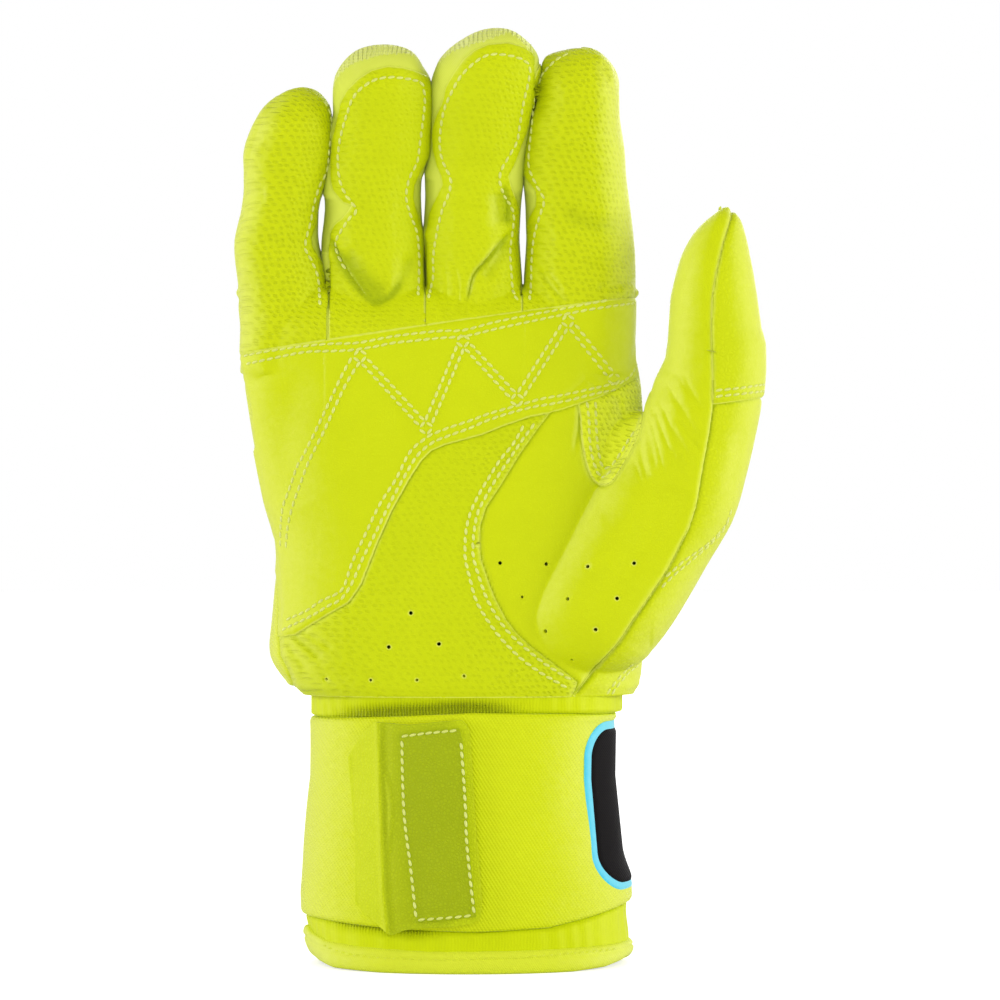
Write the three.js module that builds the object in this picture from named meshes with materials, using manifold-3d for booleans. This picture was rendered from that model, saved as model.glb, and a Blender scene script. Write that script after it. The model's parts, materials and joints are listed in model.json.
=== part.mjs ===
// A right-hand batting glove with a long wrist cuff, stuffed and standing on the hem of its cuff.
// Millimetres. +Z runs up to the fingertips, the palm faces -Y and the thumb is on the +X side.
// The leather and fabric are panels cut from one hollow form, with a narrow gap along every seam.
import * as THREE from "three";
import { mergeVertices } from "three/addons/utils/BufferGeometryUtils.js";
import Module from "manifold-3d";

const wasm = await Module();
wasm.setup();

// Cuff
const cuff_height = 68;
const cuff_width = 78.6;
const cuff_depth = 50;
const hem_height = 6.5;
const hem_fold = 1.2;
const hem_lift = 1.6;
const strap_bottom = 12;
const strap_shoulder = 4.5;
const strap_thickness = 2.2;
const sleeve_thickness = 2;
const sleeve_tuck = 8;

// Palm and back of the hand
const palm_height = 93.8;
const palm_lean = 6.9;
const wrist_depth = 50.4;
const palm_drift = 2.5;
const knuckle_slope_deg = 8.2;
const web_rise = 7;
const web_top_rise = 9.5;
const leather = 1.8;
const overlay_thickness = 1.5;
const fourchette_width = 9;
const flex_band_height = 17;

// Fingers, from the little finger to the index finger
const little_width = 22.7;
const little_depth = 22.5;
const little_length = 52.1;
const ring_width = 24.5;
const ring_depth = 25;
const ring_length = 62.2;
const middle_width = 23.7;
const middle_depth = 25.5;
const middle_length = 66;
const index_width = 28.3;
const index_depth = 26;
const index_length = 61.3;
const finger_gap = 0.64;
const finger_root = 20;
const curl_radius = 150;
const curl_start_deg = 4;
const notch_depth = 4.6;
const notch_height = 11;

// Thumb
const thumb_width = 27.6;
const thumb_depth = 28;
const thumb_length = 100.9;
const thumb_reach = 33.2;
const thumb_root_side = 33.3;
const thumb_root_rise = 22.1;
const thumb_root_front = 9;
const thumb_lift = 9.5;
const thumb_turn_deg = 25;
const thumb_web_width = 30;
const thumb_web_depth = 19;
const thumb_web_drop = 36;

// Strap tab, its hook and loop patches, and the patch on the thumb side of the strap
const tab_thickness = 1.4;
const tab_patch_thickness = 0.7;
const hook_thickness = 0.7;
const loop_thickness = 0.7;
const badge_width = 36;
const badge_foot = 7.3;
const badge_head = 1.6;
const badge_corner = 9;
const badge_rim = 2;
const badge_base_thickness = 0.6;
const badge_face_thickness = 0.5;

// Working clearances
const gap = 0.3;
const joint_gap = 0.5;
const hinge_clearance = 0.3;
const overrun = 80;
const fine_weld = 0.0002;

const hand_sides = 24;
const finger_sides = 12;
const thumb_sides = 14;
const cuff_sides = 26;
const soft_square = 2.3;
const plain_round = 2.12;
const radians = Math.PI / 180;

const knuckle_width = little_width + ring_width + middle_width + index_width + 3 * finger_gap;
const knuckle_height = cuff_height + palm_height;
const strap_top = cuff_height - strap_shoulder;
const palm_left = -palm_lean - knuckle_width / 2;
const finger_base = knuckle_height + web_rise;

// Where each finger and the thumb bend, as shares of their length.
const little_joint_share = 0.27;
const ring_joint_share = 0.4;
const middle_joint_share = 0.45;
const index_joint_share = 0.41;
const thumb_joint_share = 0.54;

// Small forms, as shares of the size that each belongs to.
const crown_inset_share = 0.167;
const crown_depth_share = 0.333;
const web_end_share = 0.85;
const web_tilt_share = 0.1;
const crotch_share = 0.25;
const notch_tilt_share = 0.6;
const notch_spread_share = 0.75;
const notch_mouth_share = 0.5;
const thumb_pad_share = 1.04;
const thumb_seam_share = 0.167;
const zone_height_shares = [-0.45, -0.1, 0.1, 0.3, 0.5, 0.7, 0.8, 0.9, 1.1];

// Rows of the palm from the wrist up: height, half width, depth and sideways place, as shares.
const palm_row_shares = [
  [0, 0.407, 0.5, -0.02],
  [0.042, 0.441, 0.49, 0.11],
  [0.11, 0.465, 0.48, 0.31],
  [0.205, 0.466, 0.467, 0.26],
  [0.313, 0.462, 0.453, 0.2],
  [0.422, 0.465, 0.435, 0.09],
  [0.531, 0.479, 0.41, 0.3],
  [0.667, 0.487, 0.385, 0.57],
  [0.803, 0.496, 0.36, 0.74],
  [0.939, 0.5, 0.335, 0.94],
  [1, 0.499, 0.315, 1],
];

// Each finger's half width and sideways drift, as shares of its width, at shares of its length.
const finger_row_shares = [0, 0.26, 0.49, 0.61, 0.73, 0.85, 0.91, 0.965, 0.99];
const finger_depth_shares = [0.5, 0.495, 0.48, 0.47, 0.455, 0.42, 0.37, 0.245, 0.13];
const little_half_shares = [0.5, 0.459, 0.438, 0.455, 0.472, 0.421, 0.371, 0.242, 0.124];
const little_drift_shares = [0, -0.079, -0.014, 0.022, 0.056, 0.124, 0.169, 0.213, 0.236];
const ring_half_shares = [0.5, 0.51, 0.472, 0.495, 0.495, 0.484, 0.437, 0.323, 0.167];
const ring_drift_shares = [0, -0.055, -0.047, 0.036, 0.047, 0.042, 0.052, 0.073, 0.078];
const middle_half_shares = [0.5, 0.51, 0.5, 0.5, 0.527, 0.554, 0.489, 0.301, 0.15];
const middle_drift_shares = [0, -0.029, 0, 0.043, 0.086, 0.129, 0.172, 0.21, 0.237];
const index_half_shares = [0.5, 0.476, 0.446, 0.432, 0.387, 0.351, 0.315, 0.225, 0.117];
const index_drift_shares = [0, -0.012, -0.045, -0.05, -0.045, -0.009, -0.018, -0.032, -0.018];

// Rows of the thumb: rise, sideways place, half width, half depth and lift off the palm, as shares.
const thumb_row_shares = [
  [-0.06, -0.4, 0.45, 0.56, -0.3],
  [0, 0, 0.625, 0.68, 0],
  [0.227, 0.455, 0.62, 0.607, 0.21],
  [0.334, 0.669, 0.565, 0.554, 0.37],
  [0.489, 0.819, 0.518, 0.518, 0.53],
  [0.561, 0.855, 0.5, 0.5, 0.58],
  [0.673, 0.895, 0.449, 0.464, 0.68],
  [0.78, 0.892, 0.391, 0.417, 0.79],
  [0.87, 0.906, 0.327, 0.347, 0.9],
  [0.935, 0.934, 0.243, 0.257, 0.95],
  [0.975, 0.97, 0.141, 0.15, 1],
];

// Rows of the cuff from the hem up: height, half width and half depth, as shares.
const cuff_row_shares = [
  [0, 0.489, 0.49],
  [0.265, 0.5, 0.5],
  [0.441, 0.489, 0.49],
  [0.7, 0.466, 0.47],
  [0.934, 0.469, 0.464],
];

// Outlines in the plane of the palm, as shares of the knuckle width and of the palm's height.
const overlay_outline_shares = [
  [0.02, 0.915], [0.202, 0.944], [0.305, 0.947], [0.451, 0.981], [0.57, 0.984], [0.659, 1.008],
  [0.799, 1.037], [0.888, 1.055], [0.989, 1.072], [0.995, 0.893], [0.952, 0.835], [0.871, 0.816],
  [0.723, 0.75], [0.584, 0.7], [0.439, 0.585], [0.375, 0.452], [0.288, 0.264], [0.204, 0.209],
  [0.12, 0.164], [0.1, 0.37], [0.065, 0.531], [0.035, 0.745],
];
const thumb_seam_shares = [
  [0.861, 0.825], [0.799, 0.768], [0.728, 0.75], [0.666, 0.675], [0.612, 0.588], [0.58, 0.499],
  [0.572, 0.411], [0.594, 0.291], [0.659, 0.164], [0.738, 0.094], [0.839, 0.024],
];
const seam_foot_shares = [0.836, -0.02];
const panel_seam_shares = [
  [0.873, 0.051], [0.947, 0.144], [1.049, 0.296], [1.11, 0.419], [1.15, 0.531], [1.165, 0.686],
  [1.182, 0.79], [1.182, 0.931],
];
const thumb_tip_seam_shares = [[1.184, 1.075], [1.207, 1.198], [1.24, 1.32]];
const back_seam_shares = [[0.62, -0.02], [0.72, 0.2], [0.86, 0.45], [0.97, 0.7]];
const gusset_foot_shares = [0.915, 0.58];
const gusset_side_shares = [0.955, 0.622];
const gusset_outline_shares = [
  [0.876, 0.873], [0.881, 0.686], [0.896, 0.622], gusset_foot_shares, gusset_side_shares, [1.03, 0.7],
  [1.03, 0.873],
];
const tab_edge_shares = [0.612, -0.2];
const tab_outline_shares = [
  [0.34, -0.058], [0.323, -0.103], [0.281, -0.15], [0.301, -0.343], [0.301, -0.542], [0.384, -0.62],
  [0.444, -0.605], [0.584, -0.597], [0.612, -0.579], tab_edge_shares, [0.584, -0.087],
];
const tab_patch_outline_shares = [
  [0.412, -0.097], [0.56, -0.081], [0.577, -0.298], [0.59, -0.571], [0.451, -0.585], [0.422, -0.38],
];
const hook_outline_shares = [[0.36, -0.12], [0.56, -0.12], [0.57, -0.56], [0.36, -0.56]];

// One closed solid from a geometry. A geometry that is turned inside out is turned back first.
function solid(geometry) {
  const plain = geometry.clone();
  plain.deleteAttribute("normal");
  plain.deleteAttribute("uv");
  const merged = mergeVertices(plain, fine_weld);
  const numbers = { numProp: 3, vertProperties: merged.attributes.position.array };
  return new wasm.Manifold(new wasm.Mesh({ ...numbers, triVerts: new Uint32Array(merged.index.array) }));
}

// A skin through rings that have the same number of points, closed by a fan to a point at each end.
function loft(rings, low_end, high_end) {
  const sides = rings[0].length;
  const corners = [low_end, ...rings.flat(), high_end];
  const faces = [];
  const at = (ring, side) => 1 + ring * sides + (side % sides);
  for (let side = 0; side < sides; side++) {
    faces.push(0, at(0, side + 1), at(0, side));
    for (let ring = 0; ring + 1 < rings.length; ring++) {
      faces.push(at(ring, side), at(ring, side + 1), at(ring + 1, side + 1));
      faces.push(at(ring, side), at(ring + 1, side + 1), at(ring + 1, side));
    }
    faces.push(corners.length - 1, at(rings.length - 1, side), at(rings.length - 1, side + 1));
  }
  const geometry = new THREE.BufferGeometry().setFromPoints(corners);
  geometry.setIndex(faces);
  return solid(geometry);
}

// A soft-cornered oval ring of a section that has its own width and depth directions.
function oval(section, grown, sides, squareness) {
  const points = [];
  for (let side = 0; side < sides; side++) {
    const turn = (2 * Math.PI * side) / sides;
    const across = Math.sign(Math.cos(turn)) * Math.abs(Math.cos(turn)) ** (2 / squareness);
    const through = Math.sign(Math.sin(turn)) * Math.abs(Math.sin(turn)) ** (2 / squareness);
    const point = section.centre.clone();
    point.addScaledVector(section.wide, across * (section.half_width + grown));
    point.addScaledVector(section.deep, through * (section.half_depth + grown));
    points.push(point);
  }
  return points;
}

// A limb through its sections. Its closed tip moves in or out with the skin.
function limb(sections, tip, grown, sides, squareness) {
  const last = sections.length - 1;
  const along = tip.clone().sub(sections[last - 1].centre).normalize();
  const rings = sections.map((section, row) => {
    const near_tip = THREE.MathUtils.smoothstep(row, last - 4, last);
    const moved = { ...section, centre: section.centre.clone().addScaledVector(along, grown * near_tip) };
    return oval(moved, grown, sides, squareness);
  });
  return loft(rings, sections[0].centre, tip.clone().addScaledVector(along, grown));
}

// Where the middle sheet of the hand lies in depth, and how far it leans forward, at a height.
function curl(height) {
  if (height <= finger_base) {
    const rise_share = (height - cuff_height) / (finger_base - cuff_height);
    return { depth: -palm_drift * rise_share, lean: 0 };
  }
  const start = Math.sin(curl_start_deg * radians);
  const lean = Math.asin(start + (height - finger_base) / curl_radius);
  const forward = curl_radius * (Math.cos(curl_start_deg * radians) - Math.cos(lean));
  return { depth: -palm_drift - forward, lean };
}

function section_at(side_place, height, half_width, half_depth) {
  const { depth, lean } = curl(height);
  return {
    centre: new THREE.Vector3(side_place, depth, height),
    wide: new THREE.Vector3(1, 0, 0),
    deep: new THREE.Vector3(0, Math.cos(lean), Math.sin(lean)),
    half_width,
    half_depth,
  };
}

const palm_sections = palm_row_shares.map(([rise, half, deep, side]) =>
  section_at(-palm_lean * side, cuff_height + rise * palm_height, half * knuckle_width, deep * wrist_depth),
);
const top_half = knuckle_width / 2;
const web_depth = Math.min(little_depth, ring_depth, middle_depth, index_depth);
palm_sections.push(section_at(-palm_lean, finger_base, top_half, (web_depth + finger_gap) / 2));
palm_sections.push(
  section_at(
    -palm_lean,
    knuckle_height + web_top_rise,
    top_half - little_width * crown_inset_share,
    web_depth * crown_depth_share,
  ),
);

function palm_form(grown, sunk) {
  const rings = palm_sections.map((section, row) => {
    const moved = { ...section, centre: section.centre.clone() };
    if (row === palm_sections.length - 1) moved.centre.z += grown;
    if (row === 0) moved.centre.z -= sunk;
    return oval(moved, grown, hand_sides, soft_square);
  });
  const low = palm_sections[0].centre.clone();
  const high = palm_sections[palm_sections.length - 1].centre.clone();
  low.z -= sunk;
  high.z += grown;
  return loft(rings, low, high);
}

const finger_names = ["little", "ring", "middle", "index"];
const finger_sizes = {
  little: {
    width: little_width, deep: little_depth, long: little_length,
    half_shares: little_half_shares, drift_shares: little_drift_shares,
    joint_share: little_joint_share,
  },
  ring: {
    width: ring_width, deep: ring_depth, long: ring_length,
    half_shares: ring_half_shares, drift_shares: ring_drift_shares,
    joint_share: ring_joint_share,
  },
  middle: {
    width: middle_width, deep: middle_depth, long: middle_length,
    half_shares: middle_half_shares, drift_shares: middle_drift_shares,
    joint_share: middle_joint_share,
  },
  index: {
    width: index_width, deep: index_depth, long: index_length,
    half_shares: index_half_shares, drift_shares: index_drift_shares,
    joint_share: index_joint_share,
  },
};

let next_side = palm_left;
const fingers = finger_names.map((name) => {
  const size = finger_sizes[name];
  const base_side = next_side + size.width / 2;
  next_side += size.width + finger_gap;
  const root = section_at(base_side, finger_base - finger_root, size.width / 2, size.deep / 2);
  const sections = finger_row_shares.map((share, row) =>
    section_at(
      base_side + size.drift_shares[row] * size.width,
      finger_base + share * size.long,
      size.half_shares[row] * size.width,
      finger_depth_shares[row] * size.deep,
    ),
  );
  const top = sections[sections.length - 1];
  const tip = section_at(top.centre.x, finger_base + size.long, 0, 0).centre;
  return { name, ...size, sections: [root, ...sections], tip };
});

// A value of a finger at a height, read between its sections: its middle, or an edge of it.
function across_finger(finger, height, side) {
  const rows = finger.sections;
  const place = (row) => rows[row].centre.x + side * rows[row].half_width;
  let row = 0;
  while (row < rows.length - 2 && rows[row + 1].centre.z < height) row++;
  const span = rows[row + 1].centre.z - rows[row].centre.z;
  const share = THREE.MathUtils.clamp((height - rows[row].centre.z) / span, 0, 1);
  return place(row) + share * (place(row + 1) - place(row));
}

function finger_section(finger, height) {
  const left = across_finger(finger, height, -1);
  const right = across_finger(finger, height, 1);
  const rows = finger.sections;
  let row = 0;
  while (row < rows.length - 2 && rows[row + 1].centre.z < height) row++;
  const span = rows[row + 1].centre.z - rows[row].centre.z;
  const share = (height - rows[row].centre.z) / span;
  const deep = rows[row].half_depth + share * (rows[row + 1].half_depth - rows[row].half_depth);
  return section_at((left + right) / 2, height, (right - left) / 2, deep);
}

function finger_form(finger, grown) {
  return limb(finger.sections, finger.tip, grown, finger_sides, soft_square);
}

const thumb_point = (rise, side, lift) =>
  new THREE.Vector3(
    thumb_root_side + side * thumb_reach,
    -thumb_root_front - lift * thumb_lift,
    cuff_height + thumb_root_rise + rise * thumb_length,
  );
const thumb_tip = thumb_point(1, 1, 1);
const thumb_centres = thumb_row_shares.map(([rise, side, , , lift]) => thumb_point(rise, side, lift));
const thumb_sections = thumb_row_shares.map(([, , half, deep], row) => {
  const before = thumb_centres[Math.max(row - 1, 0)];
  const after = row + 1 < thumb_centres.length ? thumb_centres[row + 1] : thumb_tip;
  const along = after.clone().sub(before).normalize();
  const wide = new THREE.Vector3(along.z, 0, -along.x).normalize();
  return {
    centre: thumb_centres[row],
    wide,
    deep: along.clone().cross(wide),
    half_width: half * thumb_width,
    half_depth: deep * thumb_depth,
  };
});
const thumb_form = (grown) => limb(thumb_sections, thumb_tip, grown, thumb_sides, soft_square);

// The web of leather that closes the corner between the palm and the thumb.
function web_form(grown) {
  const height = knuckle_height - thumb_web_drop;
  const ends = [
    new THREE.Vector3(
      palm_left + knuckle_width * web_end_share,
      -palm_drift,
      height - thumb_web_width * web_tilt_share,
    ),
    thumb_centres.findLast((centre) => centre.z < height).clone().setZ(height),
  ];
  const rings = ends.map((centre) => oval(
    {
      centre,
      wide: new THREE.Vector3(0, 0, -1),
      deep: new THREE.Vector3(0, 1, 0),
      half_width: thumb_web_width / 2,
      half_depth: thumb_web_depth / 2,
    },
    grown, thumb_sides, soft_square,
  ));
  return loft(rings, ends[0], ends[1]);
}

function glove_form(grown, sunk) {
  return fingers.reduce((form, finger) => form.add(finger_form(finger, grown)), palm_form(grown, sunk))
    .add(thumb_form(grown)).add(web_form(grown));
}

// The cuff follows its own rows, and its top tucks inside the leather of the wrist.
function cuff_form(grown, low, high) {
  const section = (height, half_width, half_depth) => ({
    centre: new THREE.Vector3(0, 0, height),
    wide: new THREE.Vector3(1, 0, 0),
    deep: new THREE.Vector3(0, 1, 0),
    half_width,
    half_depth,
  });
  const wrist = palm_sections[0];
  const tucked = [wrist.half_width - leather - gap, wrist.half_depth - leather - gap];
  const rows = cuff_row_shares.map(([rise, half, deep]) => [
    rise * cuff_height, half * cuff_width, deep * cuff_depth,
  ]);
  rows.push([cuff_height, ...tucked], [cuff_height + sleeve_tuck, ...tucked]);
  const inside = rows.filter(([height]) => height > low + gap && height < high - gap);
  const read = (height) => {
    let row = 0;
    while (row < rows.length - 2 && rows[row + 1][0] < height) row++;
    const share = (height - rows[row][0]) / (rows[row + 1][0] - rows[row][0]);
    const kept = THREE.MathUtils.clamp(share, 0, 1);
    return rows[row].map((value, place) => value + kept * (rows[row + 1][place] - value));
  };
  const [, low_width, low_depth] = read(low);
  const [, high_width, high_depth] = read(high);
  const all = [[low, low_width, low_depth], ...inside, [high, high_width, high_depth]];
  const rings = all.map((row) => oval(section(...row), grown, cuff_sides, plain_round));
  return loft(rings, new THREE.Vector3(0, 0, low), new THREE.Vector3(0, 0, high));
}

function cuff_layer(inner, outer, low, high) {
  return cuff_form(outer, low, high).subtract(cuff_form(inner, low - overrun, high + overrun));
}

// Outlines, in the plane of the palm
const plan = ([side, rise]) => new THREE.Vector2(
  palm_left + side * knuckle_width,
  cuff_height + rise * palm_height,
);

function grown_outline(points, by) {
  const turn = THREE.ShapeUtils.isClockWise(points) ? -1 : 1;
  return points.map((point, place) => {
    const before = points[(place + points.length - 1) % points.length];
    const after = points[(place + 1) % points.length];
    const into = point.clone().sub(before).normalize();
    const out = after.clone().sub(point).normalize();
    const normal = new THREE.Vector2(into.y + out.y, -into.x - out.x).multiplyScalar(turn).normalize();
    const square = new THREE.Vector2(out.y, -out.x).multiplyScalar(turn);
    return point.clone().addScaledVector(normal, by / Math.max(normal.dot(square), 0.5));
  });
}

// A straight-sided solid that stands on an outline in the plane of the palm, between two depths.
function prism(points, by = 0, from = -overrun, to = overrun) {
  const shape = new THREE.Shape(by ? grown_outline(points, by) : points);
  const geometry = new THREE.ExtrudeGeometry(shape, { depth: to - from, bevelEnabled: false });
  geometry.rotateX(Math.PI / 2);
  geometry.translate(0, to, 0);
  return solid(geometry);
}

// A curved slab that follows the middle sheet of the hand and fingers, between two depths from it.
function slab(from, to) {
  const heights = [cuff_height - overrun, finger_base];
  const top = finger_base + Math.max(...fingers.map((finger) => finger.long)) + finger_root / 2;
  const steps = 6;
  for (let step = 1; step <= steps; step++) {
    heights.push(finger_base + ((top - finger_base) * step) / steps);
  }
  const rings = heights.map((height) => {
    const { centre, deep } = section_at(0, height, 0, 0);
    const wide = new THREE.Vector3(2 * overrun, 0, 0);
    const back = centre.clone().addScaledVector(deep, to);
    const front = centre.clone().addScaledVector(deep, from);
    return [
      back.clone().add(wide), back.clone().sub(wide), front.clone().sub(wide), front.clone().add(wide),
    ];
  });
  const middle = (ring) => ring[0].clone().add(ring[2]).divideScalar(2);
  return loft(rings, middle(rings[0]), middle(rings[rings.length - 1]));
}

// Everything on the tip side of a finger's bend, whose plane holds the finger's own hinge line.
function beyond_bend(centre, lean, shift) {
  const size = 2 * overrun;
  const geometry = new THREE.BoxGeometry(size, size, size);
  geometry.translate(0, 0, size / 2 + shift);
  geometry.rotateX(lean);
  geometry.translate(centre.x, centre.y, centre.z);
  return solid(geometry);
}

// The largest of the bodies that a cut leaves. The rest are slivers beside a seam.
function main_body(form) {
  const bodies = form.decompose();
  return bodies.reduce((best, body) => (body.volume() > best.volume() ? body : best), bodies[0]);
}

const glove_outside = glove_form(0, 0);
const glove_inside = glove_form(-leather, overrun);
const glove_shell = glove_outside.subtract(glove_inside);

// Regions that share the finger joints, the seams and the zones between fingers
const knuckle_rise = (side) => knuckle_height + (side + palm_lean) * Math.tan(knuckle_slope_deg * radians);
const knuckle_right = palm_left + knuckle_width;
const thumb_left = thumb_root_side + thumb_reach - thumb_width / 2;
const thumb_side = knuckle_right + (thumb_left - knuckle_right) * crotch_share;
const far_left = palm_left - little_width;
const far_top = finger_base + middle_length + finger_root;

function knuckle_zone(by) {
  return prism(
    [
      new THREE.Vector2(far_left, knuckle_rise(far_left)),
      new THREE.Vector2(thumb_side, knuckle_rise(thumb_side)),
      new THREE.Vector2(thumb_side, far_top),
      new THREE.Vector2(far_left, far_top),
    ],
    by,
  );
}

// The zone of a finger in the plane of the palm, from the middle of one gap to the middle of the next.
const zone_heights = zone_height_shares.map((share) => finger_base + share * little_length);
function seam_between(left, right, height) {
  if (!left) return far_left;
  if (!right) return thumb_side;
  return (across_finger(left, height, 1) + across_finger(right, height, -1)) / 2;
}
function zone_outline(left_place, right_place) {
  const left = zone_heights.map((height) => new THREE.Vector2(left_place(height), height));
  const right = zone_heights.map((height) => new THREE.Vector2(right_place(height), height));
  const up = (points) => [...points, new THREE.Vector2(points[points.length - 1].x, far_top)];
  return [...up(left), ...up(right).reverse()];
}
function finger_zone(place, by) {
  const left = (height) => seam_between(fingers[place - 1], fingers[place], height);
  const right = (height) => seam_between(fingers[place], fingers[place + 1], height);
  return prism(zone_outline(left, right), by);
}
function crotch_zone(place) {
  const left = (height) => across_finger(fingers[place], height, 0);
  const right = (height) => across_finger(fingers[place + 1], height, 0);
  return prism(zone_outline(left, right));
}

const outer_side = {
  little: (by) => prism(zone_outline(() => far_left, (height) => across_finger(fingers[0], height, 0)), by),
  index: (by) => prism(zone_outline((height) => across_finger(fingers[3], height, 0), () => thumb_side), by),
};

const joints = fingers.map((finger) => {
  const section = finger_section(finger, finger_base + finger.joint_share * finger.long);
  const { lean } = curl(section.centre.z);
  const front = section.half_depth + hinge_clearance;
  const pivot = section.centre.clone().addScaledVector(section.deep, -front);
  return { section, lean, pivot };
});

// The diamond notch beside a bend, where the strip between two fingers shows from the front.
function notch(place, side) {
  const { section } = joints[place];
  const edge = section.centre.x + side * section.half_width;
  const middle = section.centre.z - section.half_depth * Math.sin(joints[place].lean) * notch_tilt_share;
  const mouth = edge + side * notch_depth * notch_mouth_share;
  const spread = notch_height * notch_spread_share;
  return (by) => prism(
    [
      new THREE.Vector2(edge - side * notch_depth, middle),
      new THREE.Vector2(mouth, middle + spread),
      new THREE.Vector2(mouth, middle - spread),
    ],
    by,
  );
}
const notch_sides = { little: [1], ring: [-1, 1], middle: [-1, 1], index: [-1] };
const notches = fingers.map((finger, place) => notch_sides[finger.name].map((side) => notch(place, side)));

const side_strip = fourchette_width / 2;
const front_of = (place) => slab(-overrun, place);
const back_of = (place) => slab(place, overrun);
const front_skin = front_of(-side_strip - gap / 2);
const back_skin = back_of(side_strip + gap / 2);
const strip_skin = slab(-side_strip + gap / 2, side_strip - gap / 2);
const front_half = front_of(-gap / 2);
const back_half = back_of(gap / 2);

// The pieces by the body that carries them: each is a closed solid with its name and colour.
const bodies = { hand: {}, knuckles: {}, index_tip: {}, middle_tip: {}, ring_tip: {}, little_tip: {},
  thumb_tip: {}, strap_tab: {} };
function keep(body, name, form) {
  bodies[body][name] = main_body(form);
}

// Fingertips, cut at the bend of each finger
const tip_zones = [];
fingers.forEach((finger, place) => {
  const { section, lean } = joints[place];
  const shell = finger_form(finger, 0).subtract(finger_form(finger, -leather));
  const tip = shell.intersect(beyond_bend(section.centre, lean, joint_gap / 2));
  tip_zones.push(beyond_bend(section.centre, lean, -joint_gap / 2).intersect(finger_zone(place, 0)));
  const beside = notches[place].reduce((all, cut) => all.add(cut(gap / 2)), notches[place][0](gap / 2));
  const inside = notches[place].reduce((all, cut) => all.add(cut(-gap / 2)), notches[place][0](-gap / 2));
  const body = finger.name + "_tip";
  const outer = outer_side[finger.name];
  const front_region = outer ? front_skin.add(front_half.intersect(outer(-gap / 2))) : front_skin;
  const back_region = outer ? back_skin.add(back_half.intersect(outer(-gap / 2))) : back_skin;
  const strip_region = outer ? strip_skin.subtract(outer(gap / 2)) : strip_skin;
  keep(body, body + "_front", tip.intersect(front_region).subtract(beside));
  const shown = front_of(-side_strip + gap).intersect(inside);
  keep(body, body + "_fourchette", tip.intersect(strip_region.add(shown)));
  keep(body, body + "_back", tip.intersect(back_region));
});

// The block that carries the lower fingers
let knuckle_shell = glove_shell.intersect(knuckle_zone(-joint_gap / 2));
for (const zone of tip_zones) knuckle_shell = knuckle_shell.subtract(zone);
const all_notches = notches.flat();
const notch_cuts = all_notches.reduce((all, cut) => all.add(cut(gap / 2)), all_notches[0](gap / 2));
const notch_shows = all_notches.reduce((all, cut) => all.add(cut(-gap / 2)), all_notches[0](-gap / 2));
const outer_sides = outer_side.little(-gap / 2).add(outer_side.index(-gap / 2));
const web_front = knuckle_shell.intersect(front_skin.add(front_half.intersect(outer_sides)));
keep("knuckles", "finger_web_front", web_front.subtract(notch_cuts));
["ring_little", "middle_ring", "index_middle"].forEach((name, place) => {
  const shown = front_of(-side_strip + gap).intersect(notch_shows);
  const form = knuckle_shell.intersect(strip_skin.add(shown)).intersect(crotch_zone(place));
  keep("knuckles", "fourchette_" + name, form);
});
const finger_backs = knuckle_shell.intersect(back_skin.add(back_half.intersect(outer_sides)));
fingers.forEach((finger, place) => {
  keep("knuckles", finger.name + "_back_lower", finger_backs.intersect(finger_zone(place, -gap / 2)));
});

// The tip of the thumb: the pad side and the cap on its back
const thumb_joint = (() => {
  const height = cuff_height + thumb_root_rise + thumb_joint_share * thumb_length;
  let row = 0;
  while (thumb_sections[row + 1].centre.z < height) row++;
  const low = thumb_sections[row];
  const high = thumb_sections[row + 1];
  const share = (height - low.centre.z) / (high.centre.z - low.centre.z);
  const centre = low.centre.clone().lerp(high.centre, share);
  const half = low.half_width + share * (high.half_width - low.half_width);
  const deep = low.half_depth + share * (high.half_depth - low.half_depth);
  const pad = new THREE.Vector3(-Math.sin(thumb_turn_deg * radians), -Math.cos(thumb_turn_deg * radians), 0);
  const pivot = centre.clone().addScaledVector(pad, Math.max(half, deep) * thumb_pad_share + hinge_clearance);
  return { centre, pivot, half, deep };
})();
const thumb_shell = thumb_form(0).subtract(thumb_form(-leather));
const thumb_upper = thumb_shell.intersect(beyond_bend(thumb_joint.centre, 0, joint_gap / 2));
const palm_side_seam = thumb_seam_shares.map(plan);
const panel_foot = palm_side_seam[palm_side_seam.length - 1];
const panel_seam = panel_seam_shares.map(plan);
const panel_top = panel_seam[panel_seam.length - 1];
const tip_seam = thumb_tip_seam_shares.map(plan);
const seam_foot = plan(seam_foot_shares);
const seam_top = new THREE.Vector2(tip_seam[tip_seam.length - 1].x, far_top);
const far_right = thumb_root_side + thumb_reach + thumb_width;
const right_of_seam = (by) => prism(
  [
    seam_foot, panel_foot, ...panel_seam, ...tip_seam, seam_top,
    new THREE.Vector2(far_right, far_top), new THREE.Vector2(far_right, seam_foot.y),
  ],
  by,
);
const thumb_back_reach = thumb_root_front + thumb_lift / 2 - thumb_depth * thumb_seam_share;
const thumb_front_half = (by) => prism(
  [
    new THREE.Vector2(far_left, cuff_height - overrun), new THREE.Vector2(far_right, cuff_height - overrun),
    new THREE.Vector2(far_right, far_top), new THREE.Vector2(far_left, far_top),
  ],
  0, -overrun, -thumb_back_reach + by,
);
const pad_side = (by) => thumb_front_half(by).subtract(right_of_seam(-by));
keep("thumb_tip", "thumb_tip_front", thumb_upper.intersect(pad_side(0)));
keep("thumb_tip", "thumb_back_cap", thumb_upper.subtract(pad_side(gap)));

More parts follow.
